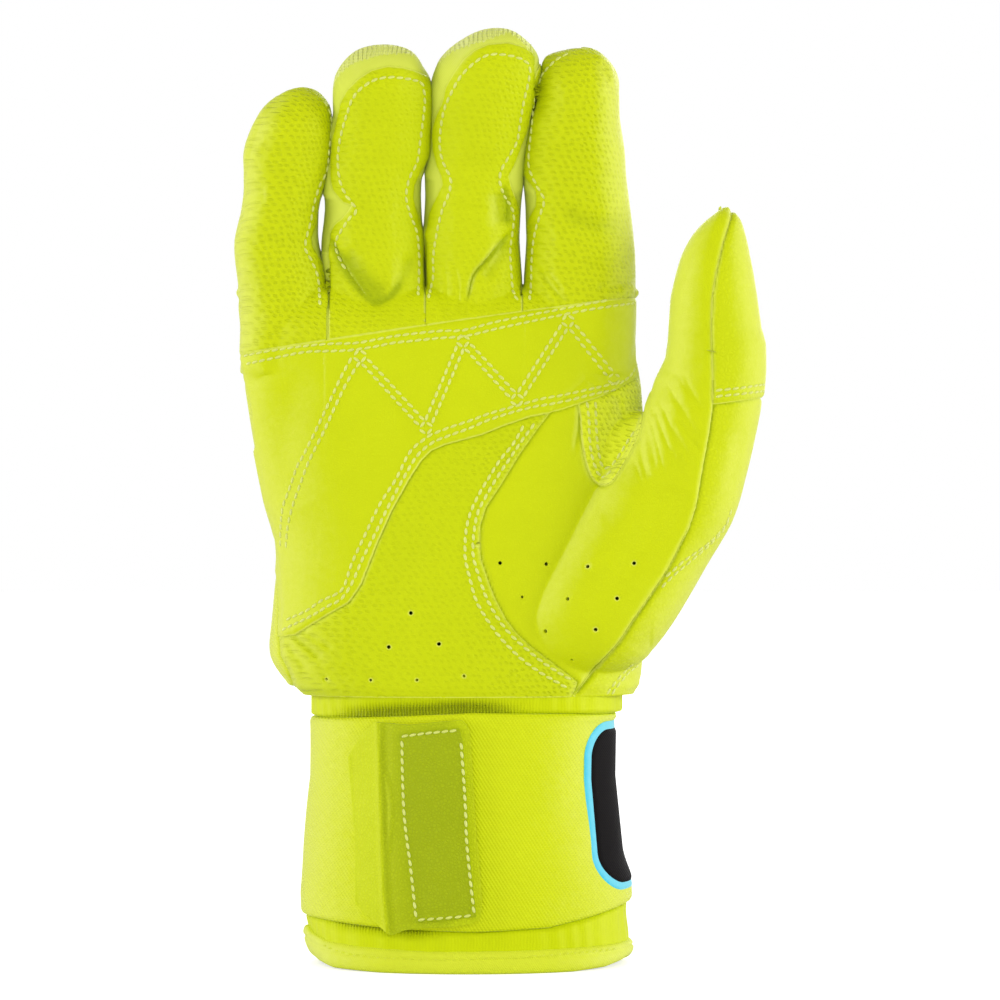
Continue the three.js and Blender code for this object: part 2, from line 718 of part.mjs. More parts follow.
// The hand, from the wrist to the knuckle line and the bend of the thumb
const thumb_away = beyond_bend(thumb_joint.centre, 0, -joint_gap / 2).intersect(prism([
  new THREE.Vector2(thumb_side, cuff_height), new THREE.Vector2(far_right, cuff_height),
  new THREE.Vector2(far_right, far_top), new THREE.Vector2(thumb_side, far_top),
]));
let rest = glove_shell.subtract(knuckle_zone(joint_gap / 2)).subtract(thumb_away);
function claim(name, region) {
  keep("hand", name, rest.intersect(region(0)));
  rest = rest.subtract(region(gap));
}
const gusset_outline = gusset_outline_shares.map(plan);
claim("crotch_gusset", (by) => prism(gusset_outline, by, -overrun, side_strip + by));
const gusset_foot = plan(gusset_foot_shares);
const gusset_side = plan(gusset_side_shares);
const thumb_panel_outline = [
  ...palm_side_seam, ...panel_seam,
  new THREE.Vector2(thumb_side, panel_top.y), new THREE.Vector2(thumb_side, gusset_side.y), gusset_foot,
];
claim("thumb_palm_panel", (by) => prism(thumb_panel_outline, by, -overrun, -thumb_back_reach + by));
const back_seam = back_seam_shares.map(plan);
const thumb_back_region = (by) => right_of_seam(by).add(prism(
  [
    ...back_seam, new THREE.Vector2(thumb_side, gusset_side.y), new THREE.Vector2(thumb_side, far_top),
    new THREE.Vector2(far_right, far_top), new THREE.Vector2(far_right, seam_foot.y),
  ],
  by, -by, overrun,
));
claim("thumb_back_panel", thumb_back_region);
claim("palm_leather", (by) => front_of(-side_strip + by));
const left_half = (by) => prism([
  new THREE.Vector2(far_left, cuff_height - overrun), new THREE.Vector2(-palm_lean, cuff_height - overrun),
  new THREE.Vector2(-palm_lean, far_top), new THREE.Vector2(far_left, far_top),
], by);
claim("side_gore", (by) => slab(-overrun, side_strip + by).intersect(left_half(by)));
const below_knuckles = (side) => new THREE.Vector2(side, knuckle_rise(side) - flex_band_height);
claim("knuckle_flex_band", (by) => prism(
  [
    below_knuckles(far_left), below_knuckles(thumb_side),
    new THREE.Vector2(thumb_side, far_top), new THREE.Vector2(far_left, far_top),
  ],
  by, -overrun, overrun,
));
keep("hand", "back_of_hand", rest);

// The raised reinforcement that is sewn on the palm below the knuckle line
const overlay_layer = glove_form(gap + overlay_thickness, 0).subtract(glove_form(gap, overrun));
const overlay_cut = prism(overlay_outline_shares.map(plan), -joint_gap / 2);
keep("hand", "palm_overlay", overlay_layer.intersect(overlay_cut).intersect(front_of(-side_strip)));

// Cuff: knitted sleeve, bound hem, wrist strap with a recess for the loop patch, and two patches
const strap_outer = gap + strap_thickness;
const below_leather = beyond_bend(new THREE.Vector3(0, 0, cuff_height - gap), Math.PI, 0);
const sleeve_room = glove_form(-leather - gap, overrun).add(below_leather);
keep("hand", "cuff_sleeve", cuff_layer(-sleeve_thickness, 0, hem_lift, cuff_height + sleeve_tuck)
  .intersect(sleeve_room));
const hem_ring = cuff_layer(-sleeve_thickness - gap - hem_fold, gap + hem_fold, 0, hem_height);
const hem_slot = cuff_layer(-sleeve_thickness - gap, gap, hem_lift - gap, hem_height + hem_lift);
keep("hand", "hem_binding", hem_ring.subtract(hem_slot));
const hook_outline = hook_outline_shares.map(plan);
const loop_inner = strap_outer - loop_thickness;
const recess = cuff_layer(loop_inner - gap, strap_outer + loop_thickness, strap_bottom, strap_top)
  .intersect(prism(hook_outline, gap, -overrun, 0));
keep("hand", "wrist_strap", cuff_layer(gap, strap_outer, strap_bottom, strap_top).subtract(recess));
keep("hand", "loop_patch", cuff_layer(loop_inner, strap_outer, strap_bottom, strap_top)
  .intersect(prism(hook_outline, 0, -overrun, 0)));
const hook_inner = strap_outer + gap;
const tab_inner = hook_inner + hook_thickness + gap;
const tab_outer = tab_inner + tab_thickness;
const tab_reach = [strap_bottom - hem_height, cuff_height];
keep("strap_tab", "hook_patch", cuff_layer(hook_inner, hook_inner + hook_thickness, ...tab_reach)
  .intersect(prism(hook_outline, -gap, -overrun, 0)));
keep("strap_tab", "tab_leather", cuff_layer(tab_inner, tab_outer, ...tab_reach)
  .intersect(prism(tab_outline_shares.map(plan), 0, -overrun, 0)));
keep("strap_tab", "tab_patch", cuff_layer(tab_outer + gap, tab_outer + gap + tab_patch_thickness, ...tab_reach)
  .intersect(prism(tab_patch_outline_shares.map(plan), 0, -overrun, 0)));

// A plain rounded patch that wraps round the thumb side of the strap, with a coloured rim below it.
function badge_cut(by) {
  const side = badge_width / 2 - badge_corner;
  const low = strap_bottom + badge_foot + badge_corner;
  const high = strap_top - badge_head - badge_corner;
  const corner = badge_corner + by;
  const shape = new THREE.Shape();
  shape.moveTo(-side, low - corner);
  shape.absarc(side, low, corner, -Math.PI / 2, 0);
  shape.absarc(side, high, corner, 0, Math.PI / 2);
  shape.absarc(-side, high, corner, Math.PI / 2, Math.PI);
  shape.absarc(-side, low, corner, Math.PI, Math.PI * 1.5);
  const geometry = new THREE.ExtrudeGeometry(shape, { depth: overrun, bevelEnabled: false, curveSegments: 6 });
  geometry.rotateX(Math.PI / 2);
  geometry.rotateZ(Math.PI / 2);
  return solid(geometry);
}
const badge_inner = strap_outer + gap;
const badge_mid = badge_inner + badge_base_thickness;
keep("hand", "badge_rim", cuff_layer(badge_inner, badge_mid, strap_bottom, strap_top).intersect(badge_cut(0)));
keep("hand", "badge_face", cuff_layer(badge_mid + gap, badge_mid + gap + badge_face_thickness,
  strap_bottom, strap_top).intersect(badge_cut(-badge_rim)));

// Where each moving body turns
const tab_edge = plan(tab_edge_shares);
const knuckle_front = palm_sections[palm_sections.length - 3].half_depth + overlay_thickness
  + 2 * gap + palm_drift + hinge_clearance;
const pivots = {
  hand: new THREE.Vector3(),
  knuckles: new THREE.Vector3(-palm_lean, -knuckle_front, knuckle_height),
  thumb_tip: thumb_joint.pivot,
  strap_tab: new THREE.Vector3(
    tab_edge.x + gap,
    -cuff_depth / 2 - tab_outer - gap - tab_patch_thickness - hinge_clearance,
    (strap_bottom + strap_top) / 2,
  ),
};
fingers.forEach((finger, place) => {
  pivots[finger.name + "_tip"] = joints[place].pivot;
});
const carrier = { knuckles: "hand", thumb_tip: "hand", strap_tab: "hand", index_tip: "knuckles",
  middle_tip: "knuckles", ring_tip: "knuckles", little_tip: "knuckles" };

const colours = {
  smooth: 0xd2dd20,
  textured: 0xc9d602,
  stretch: 0xdbe539,
  knit: 0xc5d401,
  tab: 0xbacb03,
  tab_patch: 0xa6b602,
  hem: 0xdbe545,
  rim: 0x46c8ff,
  face: 0x161415,
};
const finish_of = (name) => {
  if (name === "badge_rim") return ["rim", 0.6];
  if (name === "badge_face") return ["face", 0.5];
  if (name === "hem_binding") return ["hem", 0.7];
  if (name === "tab_patch" || name === "loop_patch" || name === "hook_patch") return ["tab_patch", 0.8];
  if (name === "tab_leather") return ["tab", 0.7];
  if (name === "cuff_sleeve" || name === "knuckle_flex_band") return ["knit", 0.9];
  if (name === "wrist_strap" || /back|side_gore|fourchette/.test(name)) return ["stretch", 0.85];
  if (/overlay|thumb|gusset/.test(name)) return ["smooth", 0.5];
  return ["textured", 0.55];
};

function piece(name, form, pivot) {
  const { vertProperties, triVerts, numProp } = form.getMesh();
  const geometry = new THREE.BufferGeometry();
  geometry.setAttribute("position", new THREE.BufferAttribute(vertProperties, numProp));
  geometry.setIndex(new THREE.BufferAttribute(triVerts, 1));
  geometry.translate(-pivot.x, -pivot.y, -pivot.z);
  geometry.computeVertexNormals();
  const [colour, roughness] = finish_of(name);
  const material = new THREE.MeshStandardMaterial({ color: colours[colour], roughness, metalness: 0 });
  const mesh = new THREE.Mesh(geometry, material);
  mesh.name = name;
  return mesh;
}

const glove = new THREE.Group();
const groups = {};
for (const body of ["hand", "knuckles", "index_tip", "middle_tip", "ring_tip", "little_tip", "thumb_tip",
  "strap_tab"]) {
  const group = new THREE.Group();
  group.name = body;
  const parent = carrier[body];
  group.position.copy(pivots[body]);
  if (parent) group.position.sub(pivots[parent]);
  for (const [name, form] of Object.entries(bodies[body])) group.add(piece(name, form, pivots[body]));
  (parent ? groups[parent] : glove).add(group);
  groups[body] = group;
}

// The whole glove stands with the middle of its box over the origin and its hem at height zero.
const box = new THREE.Box3().setFromObject(glove);
const centre = box.getCenter(new THREE.Vector3());
glove.position.set(-centre.x, -centre.y, -box.min.z);
const batting_glove = new THREE.Group();
batting_glove.add(glove);

export default batting_glove;
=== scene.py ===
# Dresses the batting glove: leather, stretch fabric, seams, stitches, cuff and tab.
# Shapes are worked out in millimetres in the glove's own drawing, then placed in the frame in metres.
import json
import math

import bmesh
import bpy
import numpy as np
from mathutils import Matrix, Vector
from mathutils.bvhtree import BVHTree
from mathutils.kdtree import KDTree

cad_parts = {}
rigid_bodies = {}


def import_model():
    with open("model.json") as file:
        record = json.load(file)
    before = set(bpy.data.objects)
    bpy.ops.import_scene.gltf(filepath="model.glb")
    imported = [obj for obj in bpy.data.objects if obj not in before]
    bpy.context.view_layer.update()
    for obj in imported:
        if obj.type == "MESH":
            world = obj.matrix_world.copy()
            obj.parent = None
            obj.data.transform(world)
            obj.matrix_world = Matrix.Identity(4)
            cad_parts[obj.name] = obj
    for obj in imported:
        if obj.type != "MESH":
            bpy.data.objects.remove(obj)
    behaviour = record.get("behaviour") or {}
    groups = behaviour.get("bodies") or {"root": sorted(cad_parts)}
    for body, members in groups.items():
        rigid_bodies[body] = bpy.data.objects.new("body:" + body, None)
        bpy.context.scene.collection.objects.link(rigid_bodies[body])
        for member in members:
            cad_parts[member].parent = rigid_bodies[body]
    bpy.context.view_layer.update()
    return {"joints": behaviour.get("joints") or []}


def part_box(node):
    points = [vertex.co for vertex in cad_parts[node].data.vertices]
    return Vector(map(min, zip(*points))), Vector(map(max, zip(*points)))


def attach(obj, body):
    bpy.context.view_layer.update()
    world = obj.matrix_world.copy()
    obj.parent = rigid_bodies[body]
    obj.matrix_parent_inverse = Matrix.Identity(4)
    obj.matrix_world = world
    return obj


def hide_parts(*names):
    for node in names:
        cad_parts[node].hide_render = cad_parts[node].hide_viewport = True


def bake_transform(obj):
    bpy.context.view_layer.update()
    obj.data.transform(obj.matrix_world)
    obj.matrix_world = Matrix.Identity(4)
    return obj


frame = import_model()
scene = bpy.context.scene

# Camera: 1 m in front of the middle of the glove, level, with a long lens
MM = 0.001
PIXEL_MM = 0.255
VIEW_MM = 1000.0
VIEW_X, VIEW_Z = 9.18, 117.8
MIDDLE_PX = 500
SENSOR = 36
low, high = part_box("hem_binding")
SHIFT = np.array([(low.x + high.x) / 2, (low.y + high.y) / 2, 0.0]) / MM
camera = bpy.data.objects.new("camera", bpy.data.cameras.new("camera"))
scene.collection.objects.link(camera)
camera.location = (MM * (VIEW_X + SHIFT[0]), MM * (SHIFT[1] - VIEW_MM), MM * VIEW_Z)
camera.rotation_euler = (math.pi / 2, 0, 0)
camera.data.sensor_width = SENSOR
camera.data.lens = SENSOR * VIEW_MM / (2 * MIDDLE_PX * PIXEL_MM)
camera.data.clip_start = 0.05
scene.camera = camera

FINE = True
VOXEL = 0.55 if FINE else 1.0
LIMB_SQUARENESS, CUFF_SQUARENESS = 2.3, 2.12

# The glove's own sizes, in millimetres
CUFF_HEIGHT, CUFF_WIDTH, CUFF_DEPTH = 68.0, 78.6, 50.0
PALM_HEIGHT, PALM_LEAN, PALM_DRIFT, WRIST_DEPTH = 93.8, 6.9, 2.5, 50.4
WEB_RISE, WEB_TOP_RISE = 7.0, 9.5
WIDTHS = np.array([22.7, 24.5, 23.7, 28.3])
DEPTHS = np.array([22.5, 25.0, 25.5, 26.0])
LENGTHS = np.array([52.1, 62.2, 66.0, 61.3])
BENDS = np.array([0.27, 0.4, 0.45, 0.41])
FINGER_GAP, FINGER_ROOT = 0.64, 20.0
CURL_RADIUS, CURL_START = 150.0, math.radians(4)
THUMB_WIDTH, THUMB_DEPTH, THUMB_LENGTH, THUMB_REACH = 27.6, 28.0, 100.9, 33.2
THUMB_ROOT = np.array([33.3, -9.0, 90.1])
THUMB_LIFT = 9.5
KNUCKLE_WIDTH = WIDTHS.sum() + 3 * FINGER_GAP
KNUCKLE_Z = CUFF_HEIGHT + PALM_HEIGHT
PALM_LEFT = -PALM_LEAN - KNUCKLE_WIDTH / 2
FINGER_BASE = KNUCKLE_Z + WEB_RISE
SPREAD = 1.7
THUMB_EDGE = 47.2
NAMES = ["little", "ring", "middle", "index"]

palm_rows = np.array([
    [0, 0.407, 0.5, -0.02], [0.042, 0.441, 0.49, 0.11], [0.11, 0.465, 0.48, 0.31],
    [0.205, 0.466, 0.467, 0.26], [0.313, 0.462, 0.453, 0.2], [0.422, 0.465, 0.435, 0.09],
    [0.531, 0.479, 0.41, 0.3], [0.667, 0.487, 0.385, 0.57], [0.803, 0.496, 0.36, 0.74],
    [0.939, 0.5, 0.335, 0.94], [1, 0.499, 0.315, 1],
])
finger_heights = np.array([0, 0.26, 0.49, 0.61, 0.73, 0.85, 0.91, 0.965, 0.99])
finger_depths = np.array([0.5, 0.495, 0.48, 0.47, 0.455, 0.42, 0.37, 0.245, 0.13])
finger_halves = np.array([
    [0.5, 0.459, 0.438, 0.455, 0.472, 0.421, 0.371, 0.242, 0.124],
    [0.5, 0.51, 0.472, 0.495, 0.495, 0.484, 0.437, 0.323, 0.167],
    [0.5, 0.51, 0.5, 0.5, 0.527, 0.554, 0.489, 0.301, 0.15],
    [0.5, 0.476, 0.446, 0.432, 0.387, 0.351, 0.315, 0.225, 0.117],
])
finger_drifts = np.array([
    [0, -0.079, -0.014, 0.022, 0.056, 0.124, 0.169, 0.213, 0.236],
    [0, -0.055, -0.047, 0.036, 0.047, 0.042, 0.052, 0.073, 0.078],
    [0, -0.029, 0, 0.043, 0.086, 0.129, 0.172, 0.21, 0.237],
    [0, -0.012, -0.045, -0.05, -0.045, -0.009, -0.018, -0.032, -0.018],
])
thumb_rows = np.array([
    [-0.06, -0.4, 0.45, 0.56, -0.3], [0, 0, 0.625, 0.68, 0], [0.227, 0.455, 0.62, 0.607, 0.21],
    [0.334, 0.669, 0.565, 0.554, 0.37], [0.489, 0.819, 0.518, 0.518, 0.53],
    [0.561, 0.855, 0.5, 0.5, 0.58], [0.673, 0.895, 0.449, 0.464, 0.68], [0.78, 0.892, 0.391, 0.417, 0.79],
    [0.87, 0.906, 0.327, 0.347, 0.9], [0.935, 0.934, 0.243, 0.257, 0.95], [0.975, 0.97, 0.141, 0.15, 1],
])
cuff_rows = np.array([
    [0, 0.489, 0.49], [0.265, 0.5, 0.5], [0.441, 0.489, 0.49], [0.7, 0.466, 0.47], [0.934, 0.469, 0.464],
])
BASES = PALM_LEFT + np.cumsum(WIDTHS) - WIDTHS / 2 + FINGER_GAP * np.arange(4)


def curl(height):
    """Depth of the hand's middle sheet, and how far it leans to the palm side, at a height."""
    height = np.asarray(height, float)
    rise = (height - CUFF_HEIGHT) / (FINGER_BASE - CUFF_HEIGHT)
    above = np.maximum(height - FINGER_BASE, 0)
    lean = np.arcsin(math.sin(CURL_START) + above / CURL_RADIUS)
    forward = CURL_RADIUS * (math.cos(CURL_START) - np.cos(lean))
    depth = -PALM_DRIFT * np.minimum(rise, 1) - forward
    return depth, np.where(height > FINGER_BASE, lean, 0.0)


def uncurl(co):
    """Height along the curled middle sheet and distance behind it, for points."""
    centre_y = -PALM_DRIFT - CURL_RADIUS * math.cos(CURL_START)
    centre_z = FINGER_BASE - CURL_RADIUS * math.sin(CURL_START)
    y, z = co[:, 1] - centre_y, co[:, 2] - centre_z
    angle = np.arctan2(z, y)
    bent = angle > CURL_START
    height = np.where(bent, FINGER_BASE + CURL_RADIUS * (np.sin(angle) - math.sin(CURL_START)), co[:, 2])
    flat_depth = curl(np.minimum(co[:, 2], FINGER_BASE))[0]
    return height, np.where(bent, np.hypot(y, z) - CURL_RADIUS, co[:, 1] - flat_depth)


def smooth_step(value, start, end):
    t = np.clip((value - start) / (end - start), 0, 1)
    return t * t * (3 - 2 * t)


def squared(share, squareness):
    """A sine or cosine pushed out towards the sides of a rounded box."""
    return np.sign(share) * np.abs(share) ** (2 / squareness)


def on_curve(a, b, c, d, t):
    """A place between b and c on the smooth curve through four points."""
    return 0.5 * (2 * b + (c - a) * t + (2 * a - 5 * b + 4 * c - d) * t ** 2 + (3 * b - a - 3 * c + d) * t ** 3)


def vert_spots(shape):
    return np.array([vert.co[:] for vert in shape.verts])


def move_verts(shape, spots):
    for vert, spot in zip(shape.verts, spots):
        vert.co = spot


def face_middles(shape):
    return np.array([face.calc_center_median()[:] for face in shape.faces])


def drop_faces(shape, dropped):
    """Deletes the faces for which dropped, a list in the order of the faces, is true."""
    faces = [face for face, drop in zip(list(shape.faces), dropped) if drop]
    bmesh.ops.delete(shape, geom=faces, context="FACES")


def smooth_faces(shape):
    for face in shape.faces:
        face.smooth = True


def new_object(name, data):
    made = bpy.data.objects.new(name, data)
    scene.collection.objects.link(made)
    return made


def as_object(name, shape):
    """Ends a bmesh and makes an object of it."""
    mesh = bpy.data.meshes.new(name)
    shape.to_mesh(mesh)
    shape.free()
    return new_object(name, mesh)


def flat_section(x, height, half_width, half_depth):
    """A row of a limb: its centre, its width and depth directions, and its half sizes."""
    depth, lean = curl(height)
    return [x, float(depth), height, 1, 0, 0, 0, math.cos(lean), math.sin(lean), half_width, half_depth]


def finger_sections(place):
    """The rows of one finger, from its root to its tip."""
    width, deep, long = WIDTHS[place], DEPTHS[place], LENGTHS[place]
    rows = [flat_section(BASES[place], FINGER_BASE - FINGER_ROOT, width / 2, deep / 2)]
    for row, share in enumerate(finger_heights):
        rows.append(flat_section(
            BASES[place] + finger_drifts[place][row] * width, FINGER_BASE + share * long,
            finger_halves[place][row] * width, finger_depths[row] * deep,
        ))
    rows.append(flat_section(rows[-1][0], FINGER_BASE + long, 0, 0))
    return np.array(rows)


finger_tables = [finger_sections(place) for place in range(4)]


def palm_sections():
    """The rows of the hand, from just above the cuff to the roots of the fingers."""
    rows = [
        flat_section(-PALM_LEAN * side, CUFF_HEIGHT + rise * PALM_HEIGHT, half * KNUCKLE_WIDTH, deep * WRIST_DEPTH)
        for rise, half, deep, side in palm_rows
    ]
    web = min(DEPTHS)
    half = KNUCKLE_WIDTH / 2
    rows.append(flat_section(-PALM_LEAN, FINGER_BASE, half, (web + FINGER_GAP) / 2))
    rows.append(flat_section(-PALM_LEAN, KNUCKLE_Z + WEB_TOP_RISE, half - WIDTHS[0] / 6, web / 3))
    rows.append(flat_section(-PALM_LEAN, KNUCKLE_Z + WEB_TOP_RISE + 0.3, 0, 0))
    below = list(rows[0])
    below[2] -= 6
    return np.array([below] + rows)


def thumb_sections():
    """The rows of the thumb, each square to the way that the thumb runs there."""
    point = lambda rise, side, lift: THUMB_ROOT + [
        side * THUMB_REACH, -lift * THUMB_LIFT, rise * THUMB_LENGTH]
    tip = point(1, 1, 1)
    centres = [point(row[0], row[1], row[4]) for row in thumb_rows] + [tip]
    rows = []
    for row, share in enumerate(thumb_rows):
        along = centres[row + 1] - centres[max(row - 1, 0)]
        along = along / np.linalg.norm(along)
        wide = np.array([along[2], 0, -along[0]])
        wide = wide / np.linalg.norm(wide)
        rows.append([*centres[row], *wide, *np.cross(along, wide), share[2] * THUMB_WIDTH, share[3] * THUMB_DEPTH])
    last = list(rows[-1])
    rows.append([*tip, *last[3:9], 0, 0])
    return np.array(rows)


def web_sections():
    """The rows of the web that joins the hand to the thumb."""
    height = KNUCKLE_Z - 36
    reach = thumb_sections()[3][:3]
    ends = [[PALM_LEFT + KNUCKLE_WIDTH * 0.85, -PALM_DRIFT, height - 3], [reach[0], reach[1], height]]
    rows = [[*(np.array(ends[0]) * (1 - t) + np.array(ends[1]) * t), 0, 0, -1, 0, 1, 0, 15, 9.5]
            for t in (0, 0.5, 1)]
    return np.array([rows[0][:9] + [0, 0]] + rows + [rows[-1][:9] + [0, 0]])


def read_rows(rows, at):
    """Rows read at a fractional place along them, on a smooth curve through them."""
    last = len(rows) - 1
    low_row = np.clip(np.floor(at).astype(int), 0, last - 1)
    t = (at - low_row)[:, None]
    return on_curve(*(rows[np.clip(low_row + k, 0, last)] for k in (-1, 0, 1, 2)), t)


def limb(rows, sides, steps):
    """A closed round form through its rows: a sphere whose rings are moved to the rows."""
    shape = bmesh.new()
    bmesh.ops.create_uvsphere(shape, u_segments=sides, v_segments=steps, radius=1)
    unit = vert_spots(shape)
    place = 1 - np.round(np.arccos(np.clip(unit[:, 2], -1, 1)) / math.pi * steps) / steps
    turn = np.arctan2(unit[:, 1], unit[:, 0])
    row = read_rows(rows, place * (len(rows) - 1))
    across, through = squared(np.cos(turn), LIMB_SQUARENESS), squared(np.sin(turn), LIMB_SQUARENESS)
    half_width, half_depth = np.maximum(row[:, 9], 0), np.maximum(row[:, 10], 0)
    pole = np.abs(unit[:, 2]) > 0.99999
    half_width[pole], half_depth[pole] = 0, 0
    sideways, forwards = row[:, 3:6] * (across * half_width)[:, None], row[:, 6:9] * (through * half_depth)[:, None]
    move_verts(shape, row[:, :3] + sideways + forwards)
    return shape


def edge_of(place, side, height):
    """Where a finger's side lies at a height."""
    rows = finger_tables[place]
    top = FINGER_BASE + 0.73 * LENGTHS[place]
    return np.interp(np.clip(height, rows[0][2], top), rows[:-1, 2], rows[:-1, 0] + side * rows[:-1, 9])


def gap_middle(gap, height):
    """The middle between two neighbouring fingers at a height."""
    return (edge_of(gap, 1, height) + edge_of(gap + 1, -1, height)) / 2


def spread(co, back=False):
    """Moves the fingers apart before the skin is made, or back together."""
    height = uncurl(co)[0]
    weight = smooth_step(height, KNUCKLE_Z - 38, KNUCKLE_Z - 6) * SPREAD
    x = co[:, 0].copy()
    moved = x + (1.5 if back else -1.5) * weight
    for gap in range(3):
        left, right = edge_of(gap, 1, height), edge_of(gap + 1, -1, height)
        middle = (left + right) / 2
        reach = np.maximum((right - left) / 2, 0.32)
        left, right = middle - reach, middle + reach
        if back:
            left, right = left + weight * (gap - 1.5), right + weight * (gap - 0.5)
        share = np.clip((x - left) / (right - left), 0, 1)
        moved += (-weight if back else weight) * share
    out = co.copy()
    out[:, 0] = moved
    return out


def coords(mesh):
    co = np.empty(len(mesh.vertices) * 3)
    mesh.vertices.foreach_get("co", co)
    return co.reshape(-1, 3)


def set_coords(mesh, co):
    mesh.vertices.foreach_set("co", np.ascontiguousarray(co, dtype=np.float32).ravel())
    mesh.update()


def edge_pairs(mesh):
    pairs = np.empty(len(mesh.edges) * 2, dtype=np.int32)
    mesh.edges.foreach_get("vertices", pairs)
    return pairs.reshape(-1, 2)


def relax(co, pairs, times, amount, weight=None, keep_size=True):
    """Evens out points against their neighbours, without shrinking the form."""
    count = len(co)
    degree = np.maximum(np.bincount(pairs.ravel(), minlength=count), 1)[:, None]
    for turn in range(times):
        total = np.empty_like(co)
        for axis in range(3):
            total[:, axis] = (np.bincount(pairs[:, 0], co[pairs[:, 1], axis], count)
                              + np.bincount(pairs[:, 1], co[pairs[:, 0], axis], count))
        step = amount if (turn % 2 == 0 or not keep_size) else -amount * 1.04
        move = (total / degree - co) * step
        co = co + (move if weight is None else move * weight[:, None])
    return co


def field_of(mesh, name, values):
    made = mesh.attributes.get(name) or mesh.attributes.new(name, "FLOAT", "POINT")
    made.data.foreach_set("value", np.asarray(values, np.float32))


def normals(mesh):
    out = np.empty(len(mesh.vertices) * 3)
    mesh.vertex_normals.foreach_get("vector", out)
    return out.reshape(-1, 3)


def baked(source, name):
    """The object's mesh with its modifiers applied, as a new mesh."""
    bpy.context.view_layer.update()
    seen = source.evaluated_get(bpy.context.evaluated_depsgraph_get())
    mesh = bpy.data.meshes.new_from_object(seen)
    mesh.name = name
    return mesh


# How wide the slits between the fingers stand open, by height (mm); elsewhere the fingers touch.
# Their walls are looked for and moved up to WALL_REACH from the slit.
CLOSED, WALL_REACH = -0.35, 9
slits = [
    [(179, CLOSED), (182, 0.3), (185, 0.9), (188, 1.3), (191.3, 1.5), (194, 1.0), (196, CLOSED)],
    [(186, CLOSED), (188, 0.3), (191.3, 0.7), (195, 1.0), (199, 0.7), (201.5, CLOSED)],
    [(170, CLOSED), (175, 0.5), (180, 1.2), (184, 1.7), (188, 1.4), (192, 1.1), (195, 0.6), (199, CLOSED)],
]


def close_gaps(co):
    """Moves the walls between neighbouring fingers to the width that the slit has there."""
    height = uncurl(co)[0]
    out = co.copy()
    for gap, slit in enumerate(slits):
        middle = gap_middle(gap, height)
        top = FINGER_BASE + min(LENGTHS[gap], LENGTHS[gap + 1]) - 7
        levels = np.arange(KNUCKLE_Z + WEB_TOP_RISE + 1, top, 1.0)
        left, right = np.zeros(len(levels)), np.zeros(len(levels))
        for k, level in enumerate(levels):
            here = (np.abs(height - level) < 0.7) & (np.abs(co[:, 0] - middle) < WALL_REACH)
            side = co[here, 0] < middle[here]
            left[k] = (co[here, 0] - middle[here])[side].max(initial=-3)
            right[k] = (co[here, 0] - middle[here])[~side].min(initial=3)
        kernel = np.ones(3) / 3
        left = np.convolve(np.pad(left, 1, "edge"), kernel, "valid")
        right = np.convolve(np.pad(right, 1, "edge"), kernel, "valid")
        wide = np.interp(levels, [row[0] for row in slit], [row[1] for row in slit]) / 2
        fade = smooth_step(height, levels[0] - 3, levels[0]) * (1 - smooth_step(height, top - 3, top + 2))
        for side, wall in ((-1, left), (1, right)):
            at = np.interp(height, levels, wall)
            sheer = np.clip(co[:, 1] - curl(height)[0], -12, 12) * (middle - VIEW_X) / VIEW_MM
            open_here = smooth_step(np.interp(height, levels, wide), 0.0, 0.2)
            reach = side * (co[:, 0] - middle - at)
            tuck_in = side * np.clip(reach, 0, None) * 0.6 * (1 - open_here) * np.exp(-(reach / 2.0) ** 2)
            move = np.interp(height, levels, side * wide - wall) + sheer * open_here - tuck_in
            mine = (side * (co[:, 0] - middle) > 0) & (reach < WALL_REACH) & (co[:, 0] < THUMB_EDGE)
            out[mine, 0] += (move * fade * (1 - smooth_step(reach, 0, WALL_REACH)))[mine]
    return out


# Where the outline is brought in or out: start and full x, the x where it ends, and (height, move) rows
nudges = [
    (-36, -48, -90, [
        (66.8, -1.6), (69, -1.5), (71.9, -0.2), (82, -0.2), (90, 0), (146, 0), (153.5, 0.75), (161, 1.0),
        (169, 0.8), (174, 0.75), (184, 0.5), (190, 1.0), (204, 0.75), (212, 0.8), (220, 1.5)]),
    (30, 40, THUMB_EDGE, [
        (66.8, 2.4), (69, 2.2), (71.9, 1.0), (77, 0.7), (82, -0.4), (90, 0), (146, -0.2), (153.5, -1.0),
        (161, -0.7), (169, -0.5), (180, 0), (212, -0.2), (220, -0.7), (226, 0)]),
    (26, 22, 19.2, [(218, 0), (225, -0.5), (229, -1.8), (232, -1.8)]),
    (-34, -38, -46, [(222, 0), (227, 0.6), (230, 1.2), (234, 1.2)]),
]
thumb_left = [
    (138, 0), (142, 0.4), (146, 1.5), (153.5, 1.7), (161, 0.75), (169, 0.25), (179, 0.5), (184, 1.0), (188, 2.0),
    (190.5, 2.8), (193, 2.8),
]
thumb_right = [
    (112, 0), (123, -0.5), (138, -0.5), (150, 0), (157, 0), (161, -0.7), (169, -0.5), (179, -0.7), (184, -0.4),
    (188, 0),
]


